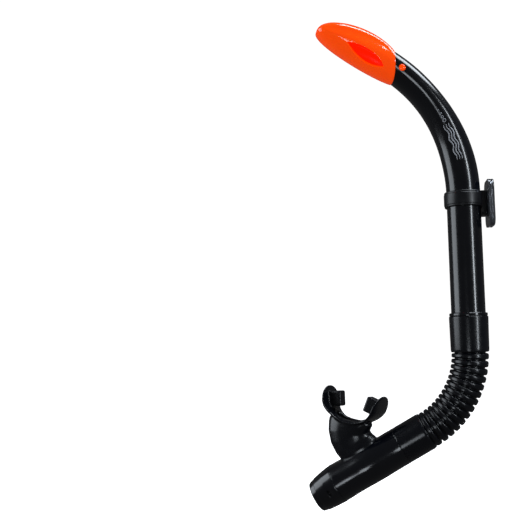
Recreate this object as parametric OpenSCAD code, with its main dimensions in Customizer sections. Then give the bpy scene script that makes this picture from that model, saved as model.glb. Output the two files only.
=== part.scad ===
// Semi-dry snorkel tube: curved barrel with a splash guard, sliding strap keeper,
// ribbed flexible hose, purge chamber with twin one-way valves, and a silicone mouthpiece.
// Frame: origin on the axis of the straight barrel at the keeper's middle height, +Z up the
// barrel, -X the way the barrel's top and the chamber lean. Millimetres.

/* [Barrel] */
// Outer diameter of the straight barrel
barrel_od = 26; // [24:0.5:28]
// Wall of the barrel
barrel_wall = 1.8; // [1.4:0.1:2.2]
// Radius of the barrel's bend, on its centreline
bend_r = 119; // [112:1:130]
// Height above the keeper where the bend starts
bend_z = 5; // [5:1:20]
// Depth below the keeper of the collar's lower face
collar_drop = 89.5; // [80:0.5:100]

/* [Splash guard] */
// Wall of the splash guard
guard_wall = 1.8; // [1.4:0.1:2.2]
// Length of the sleeve that plugs into the barrel, as an angle of the bend
sleeve_deg = 9; // [8:1:12]

/* [Keeper] */
// Height of the keeper's ring
keeper_h = 12; // [10:1:14]
// Angle of the keeper around the barrel
keeper_turn = -12; // [-30:1:0]
// Height of the strap clip's plate
clip_h = 36; // [32:1:40]
// Width of the strap clip's plate
clip_w = 24; // [22:1:27]

/* [Hose] */
// Outer diameter of the hose's ribs
rib_od = 28; // [27:0.5:30]
// Outer diameter of the hose between the ribs
groove_od = 23.8; // [22.6:0.2:25]
// Bore of the hose
hose_bore = 20.4; // [18:0.2:20.6]
// Number of ribs
ribs = 14; // [10:1:16]
// Radius of the hose's bend, on its centreline
hose_r = 67; // [60:1:74]
// Angle that the hose turns through
hose_turn = 60.5; // [50:0.5:75]
// Angle of the chamber and hose around the barrel
twist = -18; // [-30:1:0]

/* [Purge chamber] */
// Length from the hose's last rib to the chamber's end face
chamber_l = 100; // [98:1:110]
// Length of the hose's lower cuff
cuff_l = 23; // [22:1:26]
// Length of the purge cap
cap_l = 20; // [19:1:24]
// Diameter of each exhaust port
port_d = 12; // [10:0.2:12.4]
// Distance between the two ports
port_gap = 15.4; // [15:0.2:16]

/* [Mouthpiece] */
// Half the width of the mouthpiece's flange where its lobes start
flange_r = 21.5; // [18:0.5:23]
// Depth of the flange's curve
flange_dip = 15.5; // [13:0.5:18]
// Lean of the mouthpiece towards the hose
mouth_lean = 40; // [30:1:44]
// Turn of the mouthpiece about its neck
mouth_turn = 20; // [0:1:25]
// Length of each bite lug
lug_l = 10.5; // [8:0.5:11]

/* [Hidden] */

sides = 28;          // points round a lofted section
fine = 96;           // $fn of exact round parts
fit = 0.05;          // radial clearance of parts that turn or slide on each other
snug = 0.02;         // clearance of parts that are pushed together
eps = 0.4;           // overlap that joins a lofted stretch to a round one, in degrees of its bend

barrel_r = barrel_od / 2;
bore_r = barrel_r - barrel_wall;
bend_deg = 56.7;       // turn of the barrel where the splash guard meets it
seam_x = -bend_r * (1 - cos(bend_deg));
top_in_r = 10.4;     // half width of the barrel's top, across the bend's plane
top_out_r = 14.6;    // half width of the barrel's top, at right angles to the plane
barrel_foot = -collar_drop - 22.5;

peg_deg = 53.2;      // place of the snap pegs along the bend
peg_r = 2.6;
peg_out = -1;        // distance of the pegs outwards from the centreline

block_z = -3.3;      // height of the keeper's block and the strap clip, against the ring
mid_x = 17.8;        // distance of the strap clip's inner face from the barrel's axis
plug_gap = 0.1;      // clearance of the sleeve in the barrel

cuff_top = -collar_drop - 0.1;
cuff_wall = 1.8;     // wall of the upper cuff at its mouth
cuff_r = 14.5;       // outer radius of the lower cuff, and of the chamber's start
rib_start = -collar_drop - 27;
hose_end = [-hose_r * (1 - cos(hose_turn)), 0, rib_start - hose_r * sin(hose_turn)];
chamber_dip = 90 - hose_turn;
spigot_r = 12.3;
spigot_start = 3;

cap_start = chamber_l - cap_l;
body_r = 14.5;       // radius of the half rounds of the chamber's oval section
body_e = 4.2;        // offset of their centres
body_wall = 2;
seat_x = chamber_l - 9;
seat_t = 2;
disc_x = seat_x + seat_t + 0.02;
stem_r = 1.1;
port_z = -0.6;       // height of the ports and valves in the chamber's frame

mouth_at = [47.7, 0, 34.2];   // middle of the flange's inner face, in the chamber's frame
neck_x = 53;                  // middle of the neck's foot along the chamber
neck_spigot = [13.6, 8.2];    // half length and half width of the port that holds the neck

function ramp(x, a, b) = let (t = min(1, max(0, (x - a) / (b - a)))) t * t * (3 - 2 * t);
function mix(a, b, t) = a + (b - a) * t;
function bezier(p, t) = pow(1 - t, 3) * p[0] + 3 * t * pow(1 - t, 2) * p[1]
    + 3 * t * t * (1 - t) * p[2] + pow(t, 3) * p[3];
function power(v, e) = sign(v) * pow(abs(v), e);

// Solid over a list of rings with the same number of points. Looped, the last ring joins the first.
module skin(rings, looped = false) {
    n = len(rings[0]);
    m = len(rings);
    walls = [for (i = [0:1:m - (looped ? 1 : 2)], j = [0:1:n - 1])
        let (k = (i + 1) % m, l = (j + 1) % n)
        each [[i * n + j, k * n + l, i * n + l], [i * n + j, k * n + j, k * n + l]]];
    ends = looped ? [] : [[for (j = [0:1:n - 1]) j], [for (j = [n - 1:-1:0]) (m - 1) * n + j]];
    polyhedron(points = [for (r = rings) each r], faces = concat(walls, ends), convexity = 6);
}

// Wall between an outer and an inner list of rings.
module wall(outer, inner) {
    skin(concat(outer, [for (i = [len(inner) - 1:-1:0]) inner[i]]), looped = true);
}

// Flat oval of two half rounds, by its round's radius and its centres' offset.
module oval(r, e) {
    square([2 * r, 2 * e], center = true);
    for (y = [-e, e]) translate([0, y]) circle(r, $fn = fine);
}

// The chamber's frame: x runs to the purge cap, z to the mouthpiece, y to the viewer's side.
module chamber_frame() {
    rotate([0, 0, twist]) translate(hose_end) rotate([0, chamber_dip, 180]) children();
}

module mouth_frame() {
    translate(mouth_at) rotate([0, -mouth_lean, 0]) rotate([0, 0, -mouth_turn]) children();
}

// ---- barrel ----

function barrel_in(a) = mix(barrel_r, top_in_r, ramp(a, 8, 44));
function barrel_out(a) = mix(barrel_r, top_out_r, ramp(a, 8, 44));
function barrel_ring(a, inset) = [for (j = [0:sides - 1]) let (
    t = 360 * j / sides,
    out = bend_r + (barrel_in(a) - inset) * cos(t))
    [-bend_r + out * cos(a), (barrel_out(a) - inset) * sin(t), bend_z + out * sin(a)]];

module guard_side_of_seam(gap = 0) {
    translate([seam_x - 200 - gap, -50, 0]) cube([200, 100, 250]);
}

module peg(r, length) {
    out = bend_r + peg_out;
    translate([-bend_r + out * cos(peg_deg), 0, bend_z + out * sin(peg_deg)])
        rotate([90, 0, 0]) cylinder(r = r, h = length, center = true, $fn = 48);
}

module barrel() {
    color("#15171c") {
        difference() {
            span = [for (a = [-eps:3:63]) a];
            wall([for (a = span) barrel_ring(a, 0.06)],
                 [for (a = span) barrel_ring(a, barrel_wall - 0.12)]);
            guard_side_of_seam();
            peg(peg_r + 0.1, 60);
        }
        difference() {
            union() {
                translate([0, 0, barrel_foot]) cylinder(r = barrel_r, h = bend_z - barrel_foot, $fn = fine);
                translate([0, 0, -collar_drop]) cylinder(r = barrel_r + 1.5, h = 2.4, $fn = fine);
            }
            translate([0, 0, barrel_foot - 1])
                cylinder(r = bore_r, h = bend_z - barrel_foot + 2, $fn = fine);
        }
    }
}

// ---- splash guard ----

guard_top = [[seam_x, 0, 117.2], [-71, 0, 138], [-110, 0, 142.5], [-111.8, 0, 129.8]];
guard_keel = [[seam_x, 0, 91.2], [-66, 0, 94.2], [-108, 0, 119], [-111.8, 0, 129.8]];
function guard_half(t) = 15 * (1 + 0.35 * t * (1 - t)) * sqrt(1 - pow(t, 3.2));
function guard_ring(t, inset) = let (
    top = bezier(guard_top, t),
    low = bezier(guard_keel, t),
    rise = (top - low) / 2,
    high = max(0.3, 1 - inset / norm(rise)),
    wide = max(0.6, guard_half(t) - inset))
    [for (j = [0:sides - 1]) let (
        a = 360 * j / sides,
        e = sin(a) > 0 ? 2 / 2.5 : 2 / 1.8)
        (top + low) / 2 + rise * high * power(sin(a), e) - [0, wide * power(cos(a), 2 / 2.3), 0]];

// Side slot: the corners of its upper edge's and its lower edge's curves.
slot_curve = [[-62.4, 100.2], [-66, 109.5], [-79, 117.5], [-90, 118], [-86, 110.5], [-74, 100]];

module guard_slot() {
    upper = [for (t = [0:0.125:1]) bezier([for (i = [0:3]) slot_curve[i]], t)];
    lower = [for (t = [0.125:0.125:0.875]) bezier([for (i = [3, 4, 5, 0]) slot_curve[i]], t)];
    rotate([90, 0, 0]) linear_extrude(60, center = true) polygon(concat(upper, lower));
}

module guard_inlet() {
    hull() {
        translate([-94, 0, 124.5]) cylinder(r = 9.4, h = 30, $fn = 32);
        translate([-104, 0, 124.5]) cylinder(r = 5.2, h = 30, $fn = 32);
    }
}

// Sleeve that plugs into the barrel's top.
module guard_sleeve() {
    inset = barrel_wall + plug_gap;
    span = [bend_deg - sleeve_deg:3:bend_deg + 6.1];
    wall([for (a = span) barrel_ring(a, inset)], [for (a = span) barrel_ring(a, inset + 1.5)]);
}

module splash_guard() {
    steps = [0, 0.06, 0.12, 0.2, 0.3, 0.4, 0.5, 0.6, 0.7, 0.78, 0.85, 0.91, 0.95, 0.98];
    color("#ff5a0a") {
        difference() {
            wall([for (t = concat(steps, [0.995])) guard_ring(t, 0)],
                 [for (t = steps) guard_ring(t, mix(3.6, guard_wall, ramp(t, 0, 0.12)))]);
            guard_slot();
            guard_inlet();
        }
        guard_sleeve();
        intersection() {
            peg(peg_r, 2 * top_out_r + 0.4);
            difference() {
                translate([-70, -30, 80]) cube([40, 60, 40]);
                cube([200, 2 * (top_out_r - barrel_wall - 1.2), 400], center = true);
            }
        }
    }
}

// ---- keeper and strap clip ----

module keeper_ring() {
    block_h = 19;
    color("#101216") rotate([0, 0, keeper_turn]) {
        difference() {
            union() {
                cylinder(r = barrel_r + 2, h = keeper_h, center = true, $fn = fine);
                translate([barrel_r + 2, 0, block_z]) cube([4.8, 13, block_h], center = true);
            }
            cylinder(r = barrel_r + fit, h = 40, center = true, $fn = fine);
            translate([mid_x - 2.9, 0, block_z + 2]) cube([1.9, 9.2, block_h], center = true);
            translate([mid_x - 1.1, 0, block_z + 2]) cube([3.4, 5.2, block_h], center = true);
        }
    }
}

module plate_outline(w, h, r) {
    square([w - 2 * r, h], center = true);
    square([w, h - 2 * r], center = true);
    for (x = [-1, 1], y = [-1, 1])
        translate([x * (w / 2 - r), y * (h / 2 - r)]) circle(r, $fn = 48);
}

module strap_clip() {
    rail_z = 16.6;
    color([0.42, 0.44, 0.46, 0.7]) rotate([0, 0, keeper_turn]) translate([0, 0, block_z]) {
        translate([mid_x, 0, 0]) rotate([90, 0, 90]) difference() {
            union() {
                linear_extrude(1.6) plate_outline(clip_w, clip_h, 6);
                linear_extrude(4.4) difference() {
                    plate_outline(clip_w, clip_h, 6);
                    plate_outline(clip_w - 3.6, clip_h - 3.6, 4.4);
                }
            }
            for (y = [-1, 1]) translate([y * 8.1, 0, -1])
                linear_extrude(6) plate_outline(3.4, 25, 1.6);
        }
        translate([mid_x - 1.5, 0, 1]) cube([3.4, 4.6, rail_z], center = true);
        translate([mid_x - 2.9, 0, 1]) cube([1.3, 8.6, rail_z], center = true);
    }
}

// ---- hose ----

pitch_deg = hose_turn / ribs;
// Rib profile over one pitch: share of the pitch, and share of the rib's height.
rib_steps = [[0, 0], [0.28, 0], [0.36, 0.85], [0.46, 1], [0.86, 1], [0.96, 0.85]];

function hose_ring(a, r) = [for (j = [0:sides - 1]) let (
    t = 360 * j / sides,
    out = hose_r + r * cos(t))
    [-hose_r + out * cos(a), -r * sin(t), rib_start - out * sin(a)]];

module flex_hose() {
    groove = groove_od / 2;
    rise = (rib_od - groove_od) / 2;
    ribbed = [for (k = [0:ribs - 1], s = rib_steps)
        hose_ring(pitch_deg * (k + s[0]), groove + rise * s[1])];
    color("#0f1115") rotate([0, 0, twist]) {
        wall(concat([hose_ring(-eps, groove)], ribbed, [hose_ring(hose_turn + eps, groove)]),
             [for (i = [0:16]) hose_ring(mix(-eps, hose_turn + eps, i / 16), hose_bore / 2 + 0.12)]);
        difference() {
            translate([0, 0, rib_start]) cylinder(r1 = cuff_r, r2 = barrel_r + cuff_wall + 0.1,
                h = cuff_top - rib_start, $fn = fine);
            translate([0, 0, barrel_foot - 0.6]) cylinder(r = barrel_r + fit, h = 60, $fn = fine);
            translate([0, 0, rib_start - 1]) cylinder(r = hose_bore / 2, h = 60, $fn = fine);
        }
    }
    color("#0f1115") chamber_frame() rotate([0, 90, 0]) difference() {
        cylinder(r = cuff_r, h = cuff_l, $fn = fine);
        translate([0, 0, -1]) cylinder(r = hose_bore / 2, h = cuff_l + 2, $fn = fine);
        translate([0, 0, spigot_start - 0.3]) cylinder(r = spigot_r + fit, h = cuff_l, $fn = fine);
    }
}

// ---- purge chamber ----

function oval_ring(x, r, e, z = 0) = [for (j = [0:sides - 1]) let (a = 360 * j / sides)
    [x, r * cos(a) + e * max(-1, min(1, 6 * cos(a))), z + r * sin(a)]];
function body_section(x) = let (g = ramp(x, cuff_l, 60))
    [mix(cuff_r, body_r, g) - 0.4 * sin(180 * ramp(x, 44, cap_start + 4)), body_e * g];
function body_ring(x, inset) = let (s = body_section(x)) oval_ring(x, s[0] - inset, s[1]);

module neck_port(grow, z0, z1) {
    translate([neck_x, 0, z0]) linear_extrude(z1 - z0) {
        square([2 * (neck_spigot[0] - neck_spigot[1]), 2 * (neck_spigot[1] + grow)], center = true);
        for (x = [-1, 1]) translate([x * (neck_spigot[0] - neck_spigot[1]), 0])
            circle(neck_spigot[1] + grow, $fn = fine);
    }
}

module purge_chamber() {
    stations = [for (x = [cuff_l + 0.1:6:cap_start - 3]) x];
    inside = [for (x = stations) if (x > cuff_l + 2.4) x];
    color("#0c0e12") chamber_frame() {
        difference() {
            union() {
                skin([for (x = concat(stations, [cap_start - 0.1])) body_ring(x, 0)]);
                neck_port(0, 6, 20.5);
            }
            skin([for (x = concat([cuff_l + 2], inside, [cap_start + 2])) body_ring(x, body_wall)]);
            neck_port(-1.9, 4, 22);
            rotate([0, 90, 0]) cylinder(r = spigot_r - 2, h = cuff_l + 10, $fn = fine);
        }
        rotate([0, 90, 0]) translate([0, 0, spigot_start]) difference() {
            cylinder(r = spigot_r, h = cuff_l + 2.5 - spigot_start, $fn = fine);
            translate([0, 0, -1]) cylinder(r = spigot_r - 2, h = cuff_l + 10, $fn = fine);
        }
    }
}

// ---- purge cap, seat and valves ----

function cap_ring(x, inset) = let (u = (x - cap_start) / cap_l)
    oval_ring(x, mix(body_r + 0.2, 12, pow(u, 1.6)) - inset, body_e, -0.7 * ramp(u, 0, 1));

module purge_cap() {
    color("#1c2027") chamber_frame() {
        difference() {
            skin([for (u = [0:0.125:0.875]) cap_ring(cap_start + cap_l * u, 0),
                  cap_ring(chamber_l - 1, 0.5), cap_ring(chamber_l, 1.6)]);
            skin([for (u = [-0.1, 0.2, 0.4, 0.6, 0.8, 0.88]) cap_ring(cap_start + cap_l * max(0, u), body_wall)
                + [for (j = [0:sides - 1]) [min(0, u) * cap_l, 0, 0]]]);
            for (y = [-1, 1]) translate([chamber_l - 6, y * port_gap / 2, port_z])
                rotate([0, 90, 0]) cylinder(d = port_d, h = 10, $fn = fine);
            translate([chamber_l - 13, 0, -2]) cube([2, 60, 5], center = true);
        }
        plug_r = body_r - body_wall - 0.55;
        plug = [[cap_start - 7, plug_r], [cap_start, plug_r],
                [cap_start + 0.2, plug_r + 1.2], [cap_start + 3, plug_r + 1.2]];
        wall([for (p = plug) oval_ring(p[0], p[1], body_e)],
             [for (p = plug) oval_ring(p[0], plug_r - 1.6, body_e)]);
    }
}

module valve_seat() {
    spokes = 3;
    hole_r = 4.7;
    color("#2a2e35") chamber_frame() translate([seat_x, 0, port_z]) rotate([0, 90, 0]) {
        difference() {
            linear_extrude(seat_t) oval(10.6, 4);
            for (y = [-1, 1]) translate([0, y * port_gap / 2, -1]) difference() {
                cylinder(r = hole_r, h = 6, $fn = 64);
                cylinder(r = 2.2, h = 6, $fn = 48);
                for (k = [0:spokes - 1]) rotate([0, 0, 360 * k / spokes])
                    translate([0, -0.6, 0]) cube([hole_r + 1, 1.2, 6]);
            }
            for (y = [-1, 1]) translate([0, y * port_gap / 2, -1])
                cylinder(r = stem_r + fit, h = 6, $fn = 48);
        }
    }
}

module purge_valve(side) {
    disc_r = 5.9;
    color("#3a3e45") chamber_frame()
        translate([disc_x, side * port_gap / 2, port_z]) rotate([0, 90, 0]) {
            cylinder(r1 = disc_r, r2 = disc_r - 0.8, h = 0.9, $fn = 64);
            translate([0, 0, -seat_t - 3.4]) cylinder(r = stem_r, h = seat_t + 3.6, $fn = 48);
            translate([0, 0, -seat_t - 4.2]) cylinder(r1 = 0.9, r2 = 1.7, h = 2, $fn = 48);
        }
}

module purge_valve_near() { purge_valve(1); }
module purge_valve_far() { purge_valve(-1); }

// ---- mouthpiece ----

lobe_deg = 116;      // end of the flange's curve, from its middle
lobe_start = 80;     // where the flange's curve runs out into its flat lobes
function flange_point(a) = let (k = sign(a), c = min(abs(a), lobe_start),
    over = 1.2 * max(0, abs(a) - lobe_start) * PI / 180)
    [k * flange_r * (sin(c) + over * cos(c)), 0, flange_dip * (1 - cos(c) + over * sin(c))];
function flange_normal(a) = let (d = flange_point(a + 0.5) - flange_point(a - 0.5))
    [-d[2], 0, d[0]] / norm(d);
function flange_half(a) = mix(10, 13.4, ramp(abs(a), 30, 80))
    * (abs(a) > 84 ? sqrt(1 - pow((abs(a) - 84) / (lobe_deg + 0.6 - 84), 2)) : 1);
function flange_ring(a) = let (p = flange_point(a), n = flange_normal(a), w = flange_half(a), t = 1.05)
    [for (j = [0:11]) p - n * t * power(sin(30 * j), 0.6) - [0, w * power(cos(30 * j), 0.6), 0]];

module stadium(half_l, half_w, h) {
    linear_extrude(h) {
        square([2 * (half_l - half_w), 2 * half_w], center = true);
        for (x = [-1, 1]) translate([x * (half_l - half_w), 0]) circle(half_w, $fn = 32);
    }
}

module neck_outside() {
    hull() {
        translate([neck_x, 0, 13.9]) stadium(neck_spigot[0] + 2.2, neck_spigot[1] + 2, 0.4);
        translate([neck_x - 0.5, 0, 21]) stadium(neck_spigot[0] + 2, neck_spigot[1] + 1.8, 0.4);
    }
    hull() {
        translate([neck_x - 0.5, 0, 19.8]) stadium(neck_spigot[0] + 1.8, neck_spigot[1] + 1.6, 0.4);
        mouth_frame() translate([0, 0, 0.5]) stadium(18.6, 9, 1);
    }
}

module air_way() {
    hull() {
        translate([neck_x - 0.5, 0, 20.2]) stadium(neck_spigot[0] - 2, neck_spigot[1] - 2, 0.2);
        mouth_frame() translate([0, 0, -0.4]) stadium(14.8, 4.8, 0.2);
    }
    mouth_frame() translate([0, 0, -0.6]) stadium(15, 5, 20);
}

module bite_lug(side) {
    mouth_frame() translate([side * (flange_r - 0.5), 0, flange_dip - 1.2]) rotate([0, side * 12.8, 0])
        translate([-side * lug_l / 2, 0, 0]) rotate([90, 0, 0])
            linear_extrude(9, center = true) plate_outline(lug_l, 12, 1.4);
}

module mouthpiece() {
    color("#0e1014") chamber_frame() difference() {
        union() {
            mouth_frame() skin([for (a = [-lobe_deg:8:lobe_deg]) flange_ring(a)]);
            neck_outside();
            for (side = [-1, 1]) bite_lug(side);
        }
        air_way();
        neck_port(snug, 6, 20.6);
        chamber_hollow();
    }
}

// Space of the chamber's outside, so that the neck's foot sits on it.
module chamber_hollow() {
    skin([for (x = [cuff_l + 0.1:6:cap_start - 3]) body_ring(x, -snug)]);
}

barrel();
splash_guard();
keeper_ring();
strap_clip();
flex_hose();
purge_chamber();
purge_cap();
valve_seat();
purge_valve_near();
purge_valve_far();
mouthpiece();
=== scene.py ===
"""Looks of a semi-dry snorkel tube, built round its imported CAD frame.

Every piece is a surface worked out with numpy in millimetres and put into a mesh in metres, in the
frame's own axes: +Z up the straight barrel, -X the way that the barrel's top bends, -Y the near side.
"""

from __future__ import annotations

import logging
import math
from dataclasses import dataclass, field
from enum import Enum
from typing import Callable, Sequence

import bmesh
import bpy
import numpy as np
from mathutils import Matrix, Vector

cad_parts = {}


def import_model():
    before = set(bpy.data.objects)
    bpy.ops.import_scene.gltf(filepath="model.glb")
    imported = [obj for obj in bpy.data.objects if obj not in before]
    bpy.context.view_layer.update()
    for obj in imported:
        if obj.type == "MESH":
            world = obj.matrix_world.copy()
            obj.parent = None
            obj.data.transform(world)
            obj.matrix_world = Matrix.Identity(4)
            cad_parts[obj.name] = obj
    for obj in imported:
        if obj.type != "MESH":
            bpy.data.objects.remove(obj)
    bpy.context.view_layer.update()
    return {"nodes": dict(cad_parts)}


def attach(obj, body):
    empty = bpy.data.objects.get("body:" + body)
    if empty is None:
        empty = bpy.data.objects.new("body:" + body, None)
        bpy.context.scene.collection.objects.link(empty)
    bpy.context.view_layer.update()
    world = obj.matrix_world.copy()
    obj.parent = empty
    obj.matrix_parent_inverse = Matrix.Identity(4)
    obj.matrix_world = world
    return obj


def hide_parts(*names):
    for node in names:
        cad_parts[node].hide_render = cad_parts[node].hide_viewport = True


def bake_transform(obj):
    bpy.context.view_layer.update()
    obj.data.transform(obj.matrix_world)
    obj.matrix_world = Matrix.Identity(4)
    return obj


logging.basicConfig(level=logging.INFO, format="%(levelname)s %(message)s")
LOG = logging.getLogger("snorkel")

MM = 0.001
TAU = 2.0 * math.pi
Array = np.ndarray

# Widths of the broad clouds in a colour and of the worn spots in a gloss, in millimetres.
CLOUD_MM = 22.0
WEAR_MM = 5.0
# How far red, green and blue light travel inside a plastic, as shares of the finish's scatter_mm.
SCATTER_REACH = (1.0, 0.28, 0.06)
# How steeply a flat oval's side centres are taken up as its outline leaves the middle line.
FLAT_GAIN = 6.0


# ---------------------------------------------------------------- numbers and curves


def ramp(x: Array | float, start: float, end: float) -> Array:
    """Smooth step: 3t^2 - 2t^3 of t, where t runs 0 to 1 from start to end and is held outside."""
    t = np.clip((np.asarray(x, float) - start) / (end - start), 0.0, 1.0)
    return t * t * (3.0 - 2.0 * t)


def mix(a: Array | float, b: Array | float, t: Array | float) -> Array:
    """Straight blend: a + (b - a) t."""
    return np.asarray(a, float) + (np.asarray(b, float) - np.asarray(a, float)) * t


def power(x: Array, exponent: float) -> Array:
    """Signed power: the sign of x times |x| to the exponent, the root of every superellipse."""
    return np.sign(x) * np.abs(x) ** exponent


def bump(x: Array | float, centre: float, width: float) -> Array:
    """Bell of height 1: exp(-((x - centre) / width)^2)."""
    return np.exp(-(((np.asarray(x, float) - centre) / width) ** 2))


def cubic(points: Sequence[Sequence[float]], t: Array) -> Array:
    """Cubic Bezier: the four points weighted by (1-t)^3, 3t(1-t)^2, 3t^2(1-t) and t^3.

    Args:
        points: the curve's end, its two pulls and its other end.
        t: shares of the way along it.

    Returns:
        Array of points, with one more axis than t.
    """
    p = np.asarray(points, float)
    t = np.asarray(t, float)[..., None]
    s = 1.0 - t
    return s**3 * p[0] + 3 * t * s**2 * p[1] + 3 * t**2 * s * p[2] + t**3 * p[3]


def turn_z(degrees: float) -> Array:
    """Matrix of a turn about +Z by the right-hand rule."""
    return np.array(Matrix.Rotation(math.radians(degrees), 3, "Z"))


def turn_y(degrees: float) -> Array:
    """Matrix of a turn about +Y by the right-hand rule."""
    return np.array(Matrix.Rotation(math.radians(degrees), 3, "Y"))


def angles(count: int, start: float = 0.0) -> Array:
    """Angles of a closed loop: count equal steps of a full turn, from start, in radians."""
    return start + TAU * np.arange(count) / count


def sided(t: Array) -> Array:
    """Side of a flat oval that angle t is on: cos t times a gain, held within -1 and 1."""
    return np.clip(FLAT_GAIN * np.cos(t), -1.0, 1.0)


def arc_corner(radius: float, count: int, start: float, end: float) -> Array:
    """Points of a circle's arc from start to end degrees, as rows of (cos, sin) times the radius."""
    a = np.radians(np.linspace(start, end, count))
    return radius * np.stack([np.cos(a), np.sin(a)], -1)


# ---------------------------------------------------------------- meshes


@dataclass
class Soup:
    """Patches of quads that become one mesh, in millimetres.

    Args:
        points: each patch's corner positions.
        quads: each patch's faces, numbered in its own points.
    """

    points: list[Array] = field(default_factory=list)
    quads: list[Array] = field(default_factory=list)

    def add(self, points: Array, quads: Array) -> None:
        """Adds a patch: an (n, 3) array of points and an (m, 4) array of faces."""
        self.points.append(np.asarray(points, float).reshape(-1, 3))
        self.quads.append(np.asarray(quads, int).reshape(-1, 4))

    def loops(self, rings: Array, around: bool = True, along: bool = False, flip: bool = False) -> None:
        """Adds a grid of rings: neighbours in both directions are joined by quads.

        Args:
            rings: (rings, points, 3) array.
            around: whether each ring closes on itself.
            along: whether the last ring joins the first.
            flip: whether the faces point the other way.
        """
        m, n = rings.shape[:2]
        index = np.arange(m * n).reshape(m, n)
        if around:
            index = np.concatenate([index, index[:, :1]], 1)
        if along:
            index = np.concatenate([index, index[:1]], 0)
        quads = np.stack([index[:-1, :-1], index[:-1, 1:], index[1:, 1:], index[1:, :-1]], -1)
        quads = quads.reshape(-1, 4)
        self.add(rings, quads[:, ::-1] if flip else quads)

    def disc(self, ring: Array, flip: bool = False) -> None:
        """Closes a ring with loops that shrink to its centre, so the cap stays in quads.

        Args:
            ring: (n, 3) closed ring.
            flip: whether the faces point the other way.
        """
        centre = ring.mean(0)
        steps = np.array([1.0, 0.66, 0.33, 0.002])[:, None, None]
        self.loops(centre + (ring - centre) * steps, flip=flip)

    def build(self, name: str, weld: float = 0.004) -> bpy.types.Object:
        """Makes the mesh object, welds the patches' shared edges and turns the faces outwards.

        Args:
            name: the piece's name.
            weld: distance in millimetres under which points are one.

        Returns:
            The object, at the origin, linked to the scene.
        """
        start = np.cumsum([0] + [len(p) for p in self.points[:-1]])
        points = np.concatenate(self.points) * MM
        quads = np.concatenate([q + s for q, s in zip(self.quads, start)])
        mesh = bpy.data.meshes.new(name)
        mesh.from_pydata(points.tolist(), [], quads.tolist())
        clean = bmesh.new()
        clean.from_mesh(mesh)
        bmesh.ops.remove_doubles(clean, verts=clean.verts, dist=weld * MM)
        bmesh.ops.dissolve_degenerate(clean, edges=clean.edges, dist=1e-7)
        bmesh.ops.recalc_face_normals(clean, faces=clean.faces)
        clean.to_mesh(mesh)
        clean.free()
        mesh.shade_smooth()
        piece = bpy.data.objects.new(name, mesh)
        bpy.context.scene.collection.objects.link(piece)
        return piece


def tube(outer: Array, inner: Array, name: str) -> bpy.types.Object:
    """Makes a closed wall between outer and inner rings, joined at both rims.

    Args:
        outer: (rings, n, 3) array.
        inner: another, with the same n, in the same order.
        name: the piece's name.

    Returns:
        The piece.
    """
    soup = Soup()
    soup.loops(np.concatenate([outer, inner[::-1]]), along=True)
    return soup.build(name)


def applied(piece: bpy.types.Object) -> bpy.types.Object:
    """Applies all of a piece's modifiers to its mesh.

    Args:
        piece: the piece.

    Returns:
        The same piece.
    """
    graph = bpy.context.evaluated_depsgraph_get()
    mesh = bpy.data.meshes.new_from_object(piece.evaluated_get(graph))
    piece.modifiers.clear()
    old = piece.data
    piece.data = mesh
    bpy.data.meshes.remove(old)
    mesh.name = piece.name
    return piece


def modifier(piece: bpy.types.Object, kind: str, **settings: object) -> bpy.types.Modifier:
    """Adds a modifier.

    Args:
        piece: the piece.
        kind: the modifier's type.
        settings: its own properties.

    Returns:
        The modifier.
    """
    made = piece.modifiers.new(kind.title(), kind)
    for key, value in settings.items():
        setattr(made, key, value)
    return made


def bevelled(piece: bpy.types.Object, width_mm: float, degrees: float = 30.0, segments: int = 3) -> None:
    """Rounds a piece's edges that turn by more than some degrees.

    Args:
        piece: the piece.
        width_mm: width of the rounding.
        degrees: the smallest turn of an edge that is rounded.
        segments: faces across the rounding.
    """
    modifier(piece, "BEVEL", width=width_mm * MM, segments=segments, limit_method="ANGLE",
             angle_limit=math.radians(degrees))


def walled(piece: bpy.types.Object, wall_mm: float, even: bool = True, inner_material: int = 0) -> None:
    """Gives a sheet a wall that grows inwards from it.

    Args:
        piece: the sheet.
        wall_mm: thickness of the wall.
        even: whether the wall keeps its thickness round sharp turns.
        inner_material: how far the inside's material is on from the outside's.
    """
    modifier(piece, "SOLIDIFY", thickness=wall_mm * MM, offset=-1.0, use_even_offset=even,
             material_offset=inner_material)


def joined(pieces: Sequence[bpy.types.Object], name: str) -> bpy.types.Object:
    """Puts several pieces' evaluated meshes in one object, and removes the pieces.

    Args:
        pieces: the pieces.
        name: the new object's name.

    Returns:
        The new object.
    """
    clean = bmesh.new()
    graph = bpy.context.evaluated_depsgraph_get()
    for piece in pieces:
        mesh = bpy.data.meshes.new_from_object(piece.evaluated_get(graph))
        clean.from_mesh(mesh)
        bpy.data.meshes.remove(mesh)
        bpy.data.objects.remove(piece)
    mesh = bpy.data.meshes.new(name)
    clean.to_mesh(mesh)
    clean.free()
    mesh.shade_smooth()
    whole = bpy.data.objects.new(name, mesh)
    bpy.context.scene.collection.objects.link(whole)
    return whole


def carved(piece: bpy.types.Object, cutters: Sequence[bpy.types.Object]) -> bpy.types.Object:
    """Cuts closed shapes out of a closed piece, exactly, and removes the cutters.

    Args:
        piece: the piece.
        cutters: the shapes.

    Returns:
        The same piece, cut.
    """
    for cutter in cutters:
        modifier(piece, "BOOLEAN", object=cutter, operation="DIFFERENCE", solver="EXACT")
    applied(piece)
    for cutter in cutters:
        bpy.data.objects.remove(cutter)
    return piece


@dataclass(frozen=True)
class Hole:
    """An opening in a grid of u columns and v rows.

    Args:
        window: first and last column, first and last row of the cells that the opening's rings fill.
        outline: gives the opening's edge, as rows of (a, b), for angles round the window's middle.
        rings: rings of quads between the opening's edge and the window's.
    """

    window: tuple[int, int, int, int]
    outline: Callable[[Array], Array]
    rings: int = 5


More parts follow.
